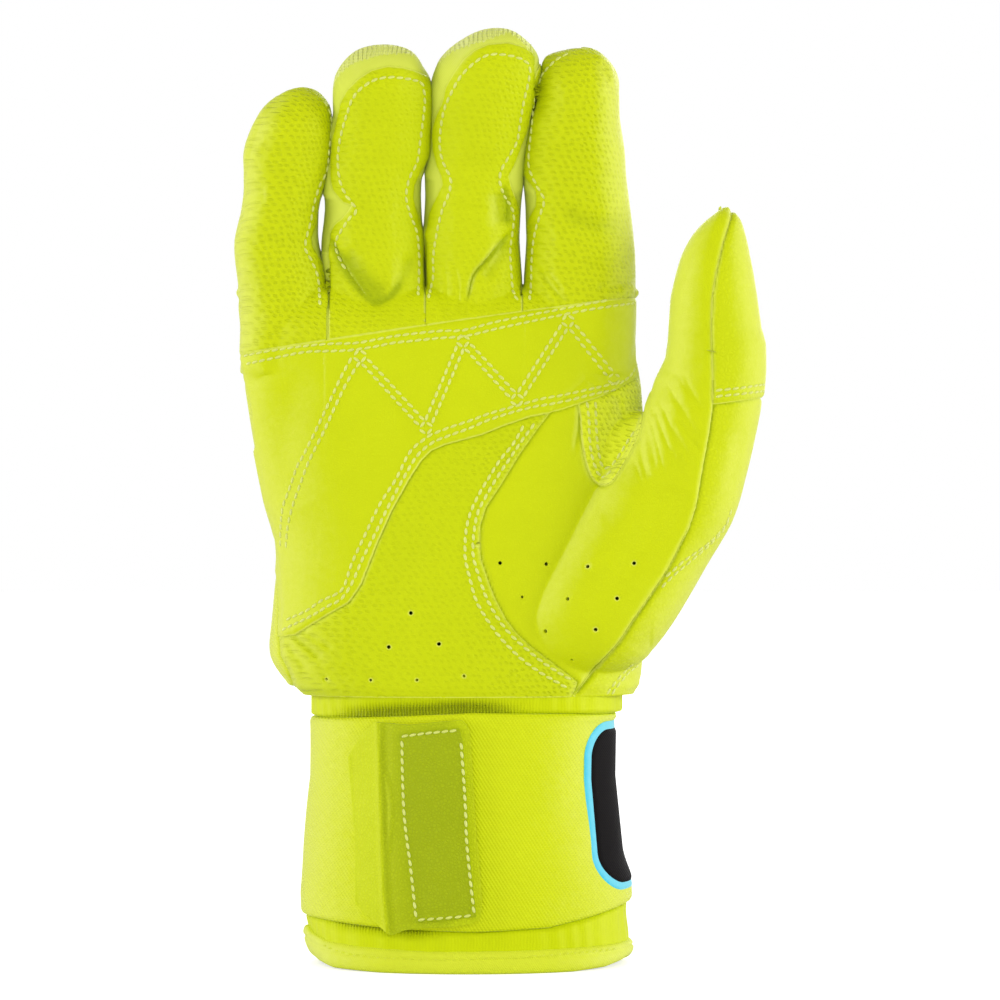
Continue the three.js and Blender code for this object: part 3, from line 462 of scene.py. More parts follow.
def trim_outline(co):
    """Brings the outline to the one in the picture."""
    x, z = co[:, 0].copy(), co[:, 2]
    out = co.copy()
    for start, full, end, rows in nudges:
        way = 1 if full > start else -1
        weight = smooth_step(way * x, way * start, way * full) * (way * x < way * end)
        out[:, 0] += weight * np.interp(z, *np.transpose(rows), left=rows[0][1], right=rows[-1][1])
    middle = np.interp(z, thumb_by_height[:, 2], thumb_by_height[:, 0])
    on_thumb = smooth_step(x, THUMB_EDGE - 0.5, THUMB_EDGE + 2.5)
    for side, rows in ((-1, thumb_left), (1, thumb_right)):
        weight = smooth_step(side * (x - middle), 0, 6) * on_thumb
        out[:, 0] += weight * np.interp(z, *np.transpose(rows), left=0, right=rows[-1][1])
    return out


thumb_table = thumb_sections()
thumb_by_height = thumb_table[np.argsort(thumb_table[:, 2])]


# Where the leather lies smooth below the slits and at the outer edge: a spot in the picture and its reach
smooth_places = [
    (327, 294, 11), (328, 308, 13), (328, 323, 13), (328, 338, 12), (426, 294, 10), (426, 307, 12), (426, 321, 12),
    (522.5, 294, 8), (522, 306, 11), (250, 371, 11), (238, 292, 7),
]


def make_skin():
    """One skin over the palm, the fingers, the thumb and the web between them."""
    joined = bpy.data.meshes.new("skin_forms")
    whole = bmesh.new()
    forms = [limb(palm_sections(), 96, 96), limb(web_sections(), 48, 24), limb(thumb_sections(), 72, 96)]
    forms += [limb(rows, 64, 96) for rows in finger_tables]
    for form in forms:
        piece = bpy.data.meshes.new("form")
        form.to_mesh(piece)
        form.free()
        whole.from_mesh(piece)
        bpy.data.meshes.remove(piece)
    whole.to_mesh(joined)
    whole.free()
    set_coords(joined, spread(coords(joined)))
    source = new_object("skin_forms", joined)
    remesh = source.modifiers.new("skin", "REMESH")
    remesh.mode = "VOXEL"
    remesh.voxel_size = VOXEL
    remesh.use_smooth_shade = True
    skin = baked(source, "skin")
    bpy.data.objects.remove(source)
    co, pairs = coords(skin), edge_pairs(skin)
    co = relax(co, pairs, 16 if FINE else 6, 0.5)
    co = trim_outline(close_gaps(spread(co, back=True)))
    spots, depth = picture(co), uncurl(co)[1]
    weight = np.zeros(len(co))
    for x, y, reach in smooth_places:
        weight = np.maximum(weight, np.exp(-(np.hypot(spots[:, 0] - x, spots[:, 1] - y) / reach) ** 4))
    weight *= smooth_step(-depth, 0, 2)
    set_coords(skin, relax(co, pairs, 60 if FINE else 16, 0.5, weight, keep_size=False))
    return skin


def picture(co):
    """Where points fall in the 1000 x 1000 picture, in pixels."""
    scale = (VIEW_MM + co[:, 1]) / VIEW_MM * PIXEL_MM
    return np.column_stack([MIDDLE_PX + (co[:, 0] - VIEW_X) / scale, MIDDLE_PX - (co[:, 2] - VIEW_Z) / scale])


def sight(x, y):
    """The direction in which the camera sees a spot of the picture."""
    return Vector(((x - MIDDLE_PX) * PIXEL_MM, VIEW_MM, (MIDDLE_PX - y) * PIXEL_MM)).normalized()


EYE = Vector((VIEW_X, -VIEW_MM, VIEW_Z))


def smooth_line(points, step, closed=False):
    """A smooth curve through picture points, with a point about every step."""
    points = np.array(points, float)
    if closed:
        points = np.vstack([points, points[:1]])
    count = len(points)
    pick = lambda k: points[k % (count - 1)] if closed else points[min(max(k, 0), count - 1)]
    out = []
    for k in range(count - 1):
        a, b, c, d = pick(k - 1), points[k], points[k + 1], pick(k + 2)
        pieces = max(1, int(np.linalg.norm(c - b) / step))
        out += [on_curve(a, b, c, d, t) for t in np.arange(pieces) / pieces]
    out.append(points[-1])
    return np.array(out)


def line_distance(spots, line, reach=24.0):
    """Distance in pixels from picture spots to a line, up to a reach, and how far along it the nearest point is."""
    order = np.argsort(spots[:, 1])
    level = spots[order, 1]
    nearest, share = np.full(len(spots), float(reach)), np.zeros(len(spots))
    for k in range(len(line) - 1):
        start, run = line[k], line[k + 1] - line[k]
        near, far = np.minimum(start, line[k + 1]) - reach, np.maximum(start, line[k + 1]) + reach
        first, last = np.searchsorted(level, (near[1], far[1]))
        pick = order[first:last]
        here = spots[pick]
        close = (here[:, 0] > near[0]) & (here[:, 0] < far[0])
        pick, here = pick[close], here[close]
        t = np.clip(((here - start) @ run) / max(run @ run, 1e-9), 0, 1)
        gap = np.linalg.norm(here - start - t[:, None] * run, axis=1)
        closer = gap < nearest[pick]
        nearest[pick[closer]] = gap[closer]
        share[pick[closer]] = (k + t[closer]) / (len(line) - 1)
    return nearest, share


def inside(spots, outline):
    """Signed distance in millimetres to a closed outline in the picture, above zero inside it."""
    loop = np.vstack([outline, outline[:1]])
    gap = line_distance(spots, loop)[0]
    order = np.argsort(spots[:, 1])
    level = spots[order, 1]
    odd = np.zeros(len(spots), bool)
    for (x0, y0), (x1, y1) in zip(loop[:-1], loop[1:]):
        if y0 == y1:
            continue
        first, last = np.searchsorted(level, (min(y0, y1), max(y0, y1)))
        pick = order[first:last]
        odd[pick] ^= spots[pick, 0] < (x1 - x0) * (spots[pick, 1] - y0) / (y1 - y0) + x0
    return np.where(odd, gap, -gap) * PIXEL_MM


# Outlines of the panels, as they show in the picture (pixels)
overlay_outline = [
    (238, 330), (264, 330), (356, 320), (464, 305), (557, 290), (632, 275), (660, 270), (664, 330),
    (650, 372), (634, 379), (617, 388), (600, 396), (582, 402), (556, 411), (530, 416), (504, 425),
    (482, 434), (464, 439), (445, 444), (431, 450), (421, 460), (410, 477), (391, 511), (376, 545),
    (361, 584), (349, 602), (328, 614), (309, 626), (296, 634), (279, 637), (280, 610), (279, 584),
    (275, 553), (262, 530), (240, 500), (240, 462), (257, 449), (255, 431), (253, 406), (246, 376),
]
gusset_outline = [
    (579, 396), (581, 421), (582, 438), (585, 458), (591, 476), (600, 485), (611, 483), (622, 468), (634, 446),
    (640, 432), (643, 418), (642, 404), (640, 392), (640, 300), (636, 290), (620, 380), (600, 392),
]
thumb_outline = [
    (556, 405), (538, 428), (519, 455), (500, 486), (486, 507), (480, 526), (479, 547), (481, 560), (488, 581),
    (495, 599), (506, 620), (517, 634), (531, 647), (547, 659), (560, 669), (571, 677), (577, 682), (571, 698),
    (578.7, 690), (591.7, 672.8), (617.7, 644.6), (635, 618.6), (663.3, 577.4), (674, 558), (688, 530),
    (695.8, 506), (702.3, 467), (708.8, 432), (712, 408), (712.4, 378), (711.5, 351), (711, 324), (712, 297),
    (716, 273), (722.5, 244), (730, 219), (733, 190), (690, 190), (650, 260), (640, 400), (620, 400), (585, 380),
]
gore_outline = [
    (215, 540), (274, 540), (279, 570), (282, 608), (280, 634), (281, 655), (290, 672), (296, 690),
    (302, 700), (306, 730), (215, 730),
]
SLOPE = math.radians(8.2)
KNUCKLE_POINT = np.array([-PALM_LEAN, KNUCKLE_Z])
KNUCKLE_NORMAL = np.array([-math.sin(SLOPE), math.cos(SLOPE)])
SIDE_DEPTH = 3.0
WALL_DEPTH = 4.5
OUTER_DEPTH = 3.0
PANEL_TIPS = [1.0, 0.0, 0.0, 1.0]
BACK_TIPS = [1.6, 4.5, 4.5, 1.6]
BAND_HEIGHT = 17.0
HEM_LINE = 68.6
CAP_LINE, CAP_LEFT_PX = 401.0, 712
# Left of here in the picture the thumb's panel lies under the leather's edge, right of here over it
LAP_TURN_PX = 579
# The palm side of each finger, little to index: its cut edge as it shows in the picture
front_outlines = [
    [(200, 390), (200, 140), (250, 60), (300, 55), (336, 80), (345, 104), (337, 114), (335, 124), (332, 136),
     (331, 153), (331, 178), (326, 186), (320.7, 191.5), (317.8, 205), (317.8, 221), (313.4, 230),
     (310.9, 238.5), (311.9, 247), (317.8, 256), (322.2, 263.4), (325.5, 271), (327.5, 280), (328, 290), (328, 390)],
    [(329, 390), (329, 306), (328.6, 263), (329.5, 243), (331, 233.3), (335.4, 224.5), (342.7, 218.7),
     (348.6, 211.3), (352.3, 204.7), (344.2, 202.5), (338.3, 196), (333.2, 189.3), (331, 178), (331, 160),
     (333, 138.6), (338.6, 115.7), (341.5, 102.3), (347.2, 90.8), (358.7, 79.3), (372, 70.7), (387.4, 66.9),
     (400.8, 67.8), (412.3, 70.7), (421.8, 74.5), (429.5, 77.4), (434, 84), (434, 110), (431, 140), (427, 160),
     (422.7, 168), (417.6, 176.8), (413.9, 185.6), (412.9, 197.4), (414.6, 206.2), (419, 217.9),
     (422.7, 226.7), (425, 233.3), (425, 390)],
    [(425.5, 390), (425.5, 233.5), (427.7, 227), (429.6, 214), (433.3, 204.8), (439.8, 191.8), (442.9, 184.5),
     (441.9, 176.9), (437, 165.4), (433.3, 150), (432.4, 135), (433.3, 127), (437, 115.7), (442.9, 102.3),
     (446.7, 87), (454.4, 73.6), (463.9, 60.2), (475.4, 50.6), (488.8, 44.9), (507.9, 43.3), (521.3, 46.8),
     (530.9, 52.5), (538, 61), (541, 72), (536, 90), (531, 110), (527, 130), (521, 146), (513.7, 165.4),
     (507.9, 175.9), (510.8, 186.4), (515.6, 199), (518.3, 206.6), (520, 216), (522, 226), (522, 390)],
    [(522, 390), (523, 240), (527.6, 224.2), (529.4, 217.7), (535.9, 206.6), (536.8, 197.4), (535.7, 190.3),
     (525.1, 176.9), (521.9, 167.3), (521, 150), (524, 129), (526, 108), (530, 90), (536, 72), (543, 56),
     (560, 40), (585, 30), (625, 40), (680, 390)],
]
# The ribbed pieces over the two long fingertips: their lower edge, closed above the tips
back_outlines = {
    1: [(326, 100), (332, 89), (338.6, 75.5), (349, 66), (358.7, 61), (372, 57.3), (391, 53.5), (406.5, 53.5),
        (418, 57.3), (424, 64), (432, 80), (432, 20), (326, 20)],
    2: [(424, 90), (431.4, 71.7), (440, 61), (452.4, 51.6), (469.7, 45), (483, 41), (496.4, 36.3), (508.9, 32.4),
        (517.5, 37.2), (525, 45), (540, 62), (540, 5), (424, 5)],
}
front_outlines = [np.array(line, float) for line in front_outlines]
back_outlines = {number: np.array(line, float) for number, line in back_outlines.items()}


def knuckle_field(co):
    return (co[:, [0, 2]] - KNUCKLE_POINT) @ KNUCKLE_NORMAL


def thumb_depth(co):
    """How far a point lies behind the middle of the thumb."""
    row = np.column_stack([np.interp(co[:, 2], thumb_by_height[:, 2], thumb_by_height[:, k]) for k in range(9)])
    return ((co - row[:, :3]) * row[:, 6:9]).sum(1)


class Fields:
    """The boundaries between the glove's panels at some points: each is zero on its boundary."""

    def __init__(self, co):
        self.co = co
        self.height, self.depth = uncurl(co)
        self.spots = picture(co)
        self.knuckle = knuckle_field(co)
        self.on_fingers = (co[:, 0] < THUMB_EDGE) & (self.knuckle > 0)

    def finger(self):
        return np.where(self.co[:, 0] > THUMB_EDGE, -5.0, self.knuckle)

    def gap(self, place):
        near = (self.knuckle > -1) & (self.co[:, 0] < THUMB_EDGE)
        return np.where(near, self.co[:, 0] - gap_middle(place, self.height), -5.0)

    def to_slit(self):
        """How far the nearest slit between two fingers is."""
        return np.min([np.abs(self.gap(gap)) for gap in range(3)], axis=0)

    def place(self):
        """Which finger a point is on, 0 to 3 from the little finger."""
        return sum((self.co[:, 0] > gap_middle(gap, self.height)).astype(int) for gap in range(3))

    def tip_limit(self, limits, usual):
        """A depth limit that runs to its own value at each fingertip."""
        place = self.place()
        reach = FINGER_BASE + LENGTHS[place] - self.height
        return usual + (np.array(limits)[place] - usual) * smooth_step(-reach, -14, -3)

    def panel(self):
        """The palm side of a finger: inside its cut edge, and in front of the finger's side."""
        place = self.place()
        side = self.tip_limit(PANEL_TIPS, -WALL_DEPTH) - self.depth
        outer = (self.co[:, 0] < BASES[0]) | (self.co[:, 0] > BASES[3])
        side = np.where(outer, OUTER_DEPTH - self.depth, side)
        near = self.on_fingers & (self.depth < 6)
        shown = np.full(len(self.co), -6.0)
        for number, outline in enumerate(front_outlines):
            mine = near & (place == number)
            shown[mine] = inside(self.spots[mine], outline)
        return np.minimum(side, shown)

    def finger_back(self):
        """The back of a finger, with the ragged edge of the ribbed piece over its tip."""
        place = self.place()
        behind = self.depth - self.tip_limit(BACK_TIPS, WALL_DEPTH)
        ragged = 0.18 * np.sin(self.co[:, 0] * 5.2) + 0.12 * np.sin(self.co[:, 0] * 8.7 + 1)
        for number, outline in back_outlines.items():
            mine = self.on_fingers & (place == number) & (self.spots[:, 1] < 130)
            over = inside(self.spots[mine], outline) + ragged[mine]
            behind[mine] = np.maximum(self.depth[mine] - WALL_DEPTH, np.clip(over, -4, 4))
        return behind

    def overlay(self):
        return np.minimum(inside(self.spots, overlay_curve), SIDE_DEPTH - 5 - self.depth)

    def gusset(self):
        return np.minimum(inside(self.spots, gusset_curve), SIDE_DEPTH - self.depth)

    def thumb(self):
        return np.minimum(inside(self.spots, thumb_curve), 2.0 - thumb_depth(self.co))

    def gore(self):
        return np.minimum(inside(self.spots, gore_curve), 5.0 - self.depth)

    def left_side(self):
        return np.where(self.co[:, 0] < 0, SIDE_DEPTH - self.depth, -5.0)

    def cap(self):
        line = (CAP_LINE - self.spots[:, 1] - (self.spots[:, 0] - 735) * 0.15) * PIXEL_MM
        return np.where(self.co[:, 0] > THUMB_EDGE, line, -5.0)

    def band(self):
        return self.knuckle + BAND_HEIGHT

    def thumb_side(self):
        return self.co[:, 0] - (26 + (self.co[:, 2] - CUFF_HEIGHT) * 0.26)

    def hem(self):
        return self.co[:, 2] - HEM_LINE


overlay_curve = np.array(overlay_outline, float)
gusset_curve = smooth_line(gusset_outline, 5, True)[:-1]
thumb_curve = np.array(thumb_outline, float)
gore_curve = np.array(gore_outline, float)

PANELS = [
    "palm_leather", "palm_overlay", "crotch_gusset", "thumb_front", "thumb_back", "thumb_cap", "side_gore",
    "flex_band", "back_of_hand", "tuck",
]
for name in NAMES:
    PANELS += [name + "_front", name + "_fourchette", name + "_back"]
PLACE = {name: number for number, name in enumerate(PANELS)}


def cut(shape, pick):
    """Cuts a surface along the line where a boundary passes through zero."""
    verts = shape.verts
    verts.ensure_lookup_table()
    value = pick(vert_spots(shape))
    edges = list(shape.edges)
    pairs = np.array([(e.verts[0].index, e.verts[1].index) for e in edges])
    a, b = value[pairs[:, 0]], value[pairs[:, 1]]
    crossing = np.nonzero((a * b < 0) & (np.abs(a - b) < 4))[0]
    on_line = set()
    for k in crossing:
        first, second = pairs[k]
        if value[first] * value[second] >= 0:
            continue
        t = value[first] / (value[first] - value[second])
        if t < 0.22 or t > 0.78:
            near, far, t = (first, second, t) if t < 0.5 else (second, first, 1 - t)
            verts[near].co = verts[near].co.lerp(verts[far].co, t)
            value[near] = 0
            on_line.add(near)
    a, b = value[pairs[:, 0]], value[pairs[:, 1]]
    crossing = np.nonzero((a * b < 0) & (np.abs(a - b) < 4))[0]
    shares = {edges[k]: float(a[k] / (a[k] - b[k])) for k in crossing}
    count = len(verts)
    bmesh.ops.bisect_edges(shape, edges=list(shares), cuts=1, edge_percents=shares)
    verts.ensure_lookup_table()
    verts.index_update()
    ends = [verts[k] for k in sorted(on_line)] + [verts[k] for k in range(count, len(verts))]
    bmesh.ops.connect_verts(shape, verts=ends, check_degenerate=True)
    verts.index_update()


def face_labels(co):
    """The panel that each face of the skin belongs to, by the face's middle."""
    at = Fields(co)
    label = np.full(len(co), PLACE["back_of_hand"])
    front = at.depth < SIDE_DEPTH
    label[front] = PLACE["palm_leather"]
    label[(~front) & (at.band() > 0)] = PLACE["flex_band"]
    thumb_zone = (at.thumb_side() > 0) & (at.band() < 0) | (co[:, 0] > THUMB_EDGE)
    seam_side = inside(at.spots, thumb_right_curve) > 0
    label[(~front) & thumb_zone] = PLACE["thumb_back"]
    label[front & seam_side] = PLACE["thumb_back"]
    label[(co[:, 0] > THUMB_EDGE) & (thumb_depth(co) >= 2)] = PLACE["thumb_back"]
    label[(label == PLACE["thumb_back"]) & (at.cap() > 0)] = PLACE["thumb_cap"]
    label[at.gore() > 0] = PLACE["side_gore"]
    label[at.thumb() > 0] = PLACE["thumb_front"]
    label[at.gusset() > 0] = PLACE["crotch_gusset"]
    label[at.overlay() > 0] = PLACE["palm_overlay"]
    left_strip = (label == PLACE["palm_leather"]) & (co[:, 0] < -40) & (at.spots[:, 1] < 545)
    label[left_strip] = PLACE["side_gore"]
    label[co[:, 2] < HEM_LINE] = PLACE["tuck"]
    fingers = at.finger() > 0
    place = at.place()
    panel, back = at.panel(), at.finger_back()
    for number, name in enumerate(NAMES):
        here = fingers & (place == number)
        label[here] = PLACE[name + "_fourchette"]
        label[here & (back > 0)] = PLACE[name + "_back"]
        label[here & (panel > 0)] = PLACE[name + "_front"]
        if number in (0, 3):
            outer = (co[:, 0] < BASES[0]) if number == 0 else (co[:, 0] > BASES[3])
            label[here & outer & (panel <= 0)] = PLACE[name + "_back"]
    return label


thumb_right_curve = np.array([
    (735, 150), (733, 190), (730, 219), (722.5, 244), (716, 273), (712, 297), (711, 324), (711.5, 351),
    (712.4, 378), (712, 408), (708.8, 432), (702.3, 467), (695.8, 506), (688, 530), (674, 558), (663.3, 577.4),
    (635, 618.6), (617.7, 644.6), (591.7, 672.8), (578.7, 690), (571, 700), (560, 740), (800, 740), (800, 150),
], float)


# Creases and folds pressed into the skin: a line in the picture, half width and depth in millimetres
folds = [
    ([(331, 238), (338, 256), (349, 275), (361, 291), (371, 301)], 0.9, 1.5),
    ([(340, 250), (352, 268), (368, 286), (388, 300)], 3.8, 1.3),
    ([(368, 301), (380, 302), (392, 296), (402, 282)], 0.9, 0.8),
    ([(382, 300), (394, 290), (406, 272), (412, 254)], 2.4, 0.8),
    ([(336, 246), (345, 268), (358, 288)], 0.8, 0.4),
    ([(503, 184), (509, 204), (508, 226)], 1.1, 1.0),
    ([(496, 190), (499, 206), (500, 226)], 2.6, 0.9),
    ([(512, 231), (500, 244), (484, 262), (473, 276), (467, 303)], 0.9, 1.1),
    ([(510, 240), (496, 262), (484, 280)], 2.4, 0.9),
    ([(455, 204), (470, 210), (490, 208)], 1.2, 0.35),
    ([(460, 160), (478, 166), (496, 160)], 2.4, 0.3),
    ([(352, 160), (372, 166), (400, 160)], 2.4, 0.3),
    ([(548, 150), (580, 156), (612, 150)], 2.6, 0.3),
    ([(500, 262), (484, 268), (476, 284), (473, 312)], 0.7, 0.4),
    ([(444, 262), (447, 285), (446, 312)], 0.6, 0.35),
    ([(438, 290), (442, 306), (450, 322)], 0.6, 0.3),
    ([(456, 268), (459, 290), (458, 318)], 0.6, 0.35),
    ([(465, 292), (466, 318)], 0.5, 0.3),
    ([(538, 268), (550, 285), (566, 303)], 0.9, 0.55),
    ([(548, 272), (556, 282), (563, 292)], 0.6, 0.35),
    ([(560, 208), (585, 222), (612, 224), (630, 214)], 3.2, 0.8),
    ([(585, 268), (610, 264), (634, 258)], 1.6, 0.45),
    ([(596, 290), (616, 284), (636, 281)], 1.2, 0.45),
    ([(440, 182), (452, 190), (470, 187)], 1.4, 0.35),
    ([(238, 186), (250, 192), (268, 193)], 2.0, 0.5),
    ([(240, 236), (262, 243), (288, 244), (306, 238)], 1.9, 0.55),
    ([(238, 262), (262, 267), (290, 266)], 1.4, 0.4),
    ([(242, 284), (266, 290), (296, 288)], 1.6, 0.4),
    ([(262, 146), (275, 152), (290, 150)], 2.4, 0.35),
    ([(340, 212), (356, 208), (372, 214)], 1.6, 0.35),
    ([(580.5, 403), (579, 418), (577, 436), (575, 450)], 0.7, 0.6),
    ([(672, 393), (684, 412), (698, 440)], 0.9, 0.42),
    ([(679, 420), (690, 436), (700, 452)], 0.7, 0.45),
    ([(671, 425), (681, 444), (692, 462)], 0.9, 0.42),
    ([(671, 448), (679, 466), (689, 486)], 0.8, 0.45),
    ([(684, 376), (694, 396), (704, 412)], 0.8, 0.4),
    ([(640, 434), (642, 458), (648, 482)], 0.9, 0.45),
    ([(660, 402), (668, 420), (678, 446), (684, 470)], 0.55, 0.4),
    ([(655, 410), (662, 430), (670, 452), (676, 476)], 0.55, 0.4),
    ([(650, 418), (656, 440), (662, 464), (668, 486)], 0.55, 0.35),
    ([(668, 384), (678, 404), (688, 424), (694, 446)], 0.55, 0.4),
    ([(676, 372), (686, 388), (696, 404)], 0.5, 0.3),
    ([(644, 460), (650, 476), (658, 492)], 0.6, 0.35),
    ([(636, 462), (642, 482), (650, 500)], 0.7, 0.3),
    ([(649, 428), (652, 450), (656, 468)], 1.0, 0.35),
    ([(664, 366), (676, 374), (690, 378)], 1.2, 0.35),
    ([(293, 634), (306, 645), (322, 659)], 1.2, 0.5),
    ([(300, 629), (316, 640), (334, 650)], 1.0, 0.35),
    ([(286, 640), (296, 656), (308, 670)], 1.0, 0.4),
    ([(622, 575), (642, 548), (660, 516), (674, 484)], 6.0, 1.5),
    ([(300, 366), (286, 420), (286, 470), (304, 506)], 6.5, 1.1),
    ([(600, 520), (628, 510), (652, 494)], 3.0, 0.4),
    ([(742, 430), (738, 460), (730, 492)], 2.0, 0.35),
    ([(606, 690), (618, 686), (634, 676)], 1.2, 0.4),
    ([(690, 522), (676, 556), (664, 577), (635, 619), (618, 645), (592, 673), (575, 695)], 0.5, 0.75),
    ([(600, 664), (588, 678), (574, 696)], 0.7, 0.9),
]
# Lines where two fingers are sewn to each other below their slit
finger_seams = [
    ([(327.5, 258), (328.5, 285), (329, 309)], 0.55, 1.5),
    ([(425.5, 240), (425, 292)], 0.5, 1.1),
    ([(521.5, 284), (521, 296)], 0.5, 1.1),
]
# Soft swellings that stand out, the same way round
swells = [
    ([(300, 118), (296, 150), (284, 178)], 7.0, 0.5),
    ([(262, 320), (300, 322), (340, 318)], 2.6, 0.4),
    ([(634, 287), (628, 289), (618, 291)], 1.0, 0.6),
    ([(302, 91), (280, 98), (262, 116), (250, 145), (246, 168)], 0.8, 0.5),
    ([(594, 56), (606, 66), (612, 86)], 0.8, 0.45),
    ([(690, 330), (688, 350), (690, 366)], 5.0, 0.4),
]


def press(co, normal, lines):
    """How far each point is pushed in by a set of lines on the palm side."""
    spots = picture(co)
    facing = np.clip(-normal[:, 1] * 2.5, 0, 1)
    total = np.zeros(len(co))
    for points, width, depth in lines:
        reach = width * 2.6 / PIXEL_MM
        gap, share = line_distance(spots, smooth_line(points, 6), reach + 2)
        ends = smooth_step(np.minimum(share, 1 - share), -0.12, 0.22)
        total = np.maximum(total, depth * np.exp(-(gap * PIXEL_MM / width) ** 2) * ends * (gap < reach))
    return total * facing


def knuckle_row(below, start, end):
    """A line on the back, parallel to the knuckles, this far under them."""
    return [(x, KNUCKLE_Z + (x + PALM_LEAN) * math.tan(SLOPE) - below) for x in np.linspace(start, end, 9)]


# On the back, in millimetres across and up: seams that fan out from the wrist to the knuckles
tendons = [
    [(-14, 76), (-20, 92), (-29, 110), (-37, 128)],
    [(-5, 76), (-7, 94), (-12, 114), (-17, 132)],
    [(4, 76), (5, 94), (6, 114), (6, 136)],
    [(13, 76), (17, 92), (22, 110), (27, 138)],
]


def press_back(co, normal):
    """Pleats over the knuckles, padded channels down the back and flex grooves behind the finger joints."""
    spots = co[:, [0, 2]]
    facing = np.clip(normal[:, 1] * 2.5, 0, 1)
    under = -knuckle_field(co)
    in_band = smooth_step(under, 2.2, 3.4) * (1 - smooth_step(under, 13.6, 14.8))
    total = in_band * 0.9 * (0.5 - 0.5 * np.cos(2 * math.pi * (under - 2.8) / 2.9))
    for line in tendons:
        gap = line_distance(spots, smooth_line(line, 1.5), 4)[0]
        total = np.maximum(total, 0.75 * np.exp(-(gap / 1.0) ** 2))
    length = np.clip(-under, 0, None)
    for at_height in (20, 23.4, 26.8, 42, 45):
        total = np.maximum(total, 0.55 * np.exp(-((length - at_height) / 0.8) ** 2) * (co[:, 0] < THUMB_EDGE))
    return total * facing


def sculpt():
    """Presses the folds, grooves and lapped edges into the skin, and keeps a mask of painted shade for the creases, the
    lapped edges and the slits.
    """
    co, normal = coords(skin), normals(skin)
    pushed = press(co, normal, folds) + press(co, normal, finger_seams) - press(co, normal, swells)
    at = Fields(co)
    groove = np.zeros(len(co))
    for line, width, depth in ((at.thumb(), 0.8, 0.35), (at.gore(), 0.9, 0.5), (at.cap(), 0.8, 0.2)):
        groove = np.maximum(groove, depth * np.exp(-(line / width) ** 2))
    groove[at.on_fingers] = 0
    pushed = pushed + groove
    narrow = press(co, normal, [fold for fold in folds if fold[1] < 1.3 and fold[2] > 0.45])
    soft = press(co, normal, [fold for fold in folds if 2 < fold[1] < 4 and fold[2] > 0.45])
    pushed = pushed + press_back(co, normal)
    # beside each lapped edge the lower panel dips, and a painted shadow line is laid there
    left_part = at.spots[:, 0] < LAP_TURN_PX
    under_edges = np.zeros(len(co))
    bare = smooth_step(-at.overlay(), 0.0, 0.5)
    barer = bare * smooth_step(-at.gusset(), 0.0, 0.5)
    for line, seen_there in ((-at.overlay(), 1), (-at.gusset(), bare), (at.gore(), barer),
                             (np.where(left_part, at.thumb(), -at.thumb()), barer),
                             (-at.cap(), barer * (at.spots[:, 0] > CAP_LEFT_PX))):
        under_edges = np.maximum(under_edges, np.exp(-((line - 0.35) / 0.4) ** 2) * seen_there)
    under_edges[at.on_fingers] = 0
    rims = np.exp(-((at.panel() + 0.3) / 0.35) ** 2) * at.on_fingers * (at.depth < 5)
    rims *= at.to_slit() > 0.6
    under_edges = np.maximum(under_edges, 0.6 * rims)
    pushed = pushed + 0.3 * under_edges
    # Painted shade in the slits between the fingers, beside the lapped edges and in the narrow creases, grooves and
    # soft folds
    slit_shade = 0.5 * np.exp(-(at.to_slit() / 1.1) ** 2) * at.on_fingers * (1 - smooth_step(at.spots[:, 1], 286, 300))
    shade = np.maximum(0.75 * under_edges, slit_shade) + (narrow + 0.7 * soft + 0.3 * groove) / 1.2
    field_of(skin, "hollow", np.clip(shade, 0, 1))
    rolled = smooth_step(-co[:, 2], -HEM_LINE - 2.6, -HEM_LINE + 0.4)
    pushed = pushed + rolled * 0.5
    set_coords(skin, co - normal * pushed[:, None])


# Air holes through the leather, where they are in the picture
holes = np.array([
    (411, 613), (389, 647), (439, 644), (327, 679), (371, 680), (417, 680), (464, 676), (500, 563), (546, 564),
    (587.8, 566.6), (634, 563.3), (568, 599), (617, 598.4), (546, 631), (595.6, 629.5), (522, 597), (572, 659),
], float)
hole_sizes = np.where(np.isin(holes[:, 0], [327, 371, 417, 464, 522, 572]), 0.36, 0.48)


def pierce(shape):
    """Cuts round air holes through the front."""
    tree = BVHTree.FromBMesh(shape)
    spots = np.array([tree.ray_cast(EYE, sight(x, y))[0][:] for x, y in holes])

    def outside(co):
        return np.min([np.linalg.norm(co - spot, axis=1) - size for spot, size in zip(spots, hole_sizes)], axis=0)

    for _ in range(1 if FINE else 2):
        edges = list(shape.edges)
        middles = np.array([(e.verts[0].co + e.verts[1].co)[:] for e in edges]) / 2
        near = [edges[k] for k in np.nonzero(outside(middles) < 1.0)[0]]
        bmesh.ops.subdivide_edges(shape, edges=near, cuts=1, use_grid_fill=True)
        shape.verts.index_update()
    cut(shape, outside)
    drop_faces(shape, outside(face_middles(shape)) < 0)
    shape.verts.index_update()


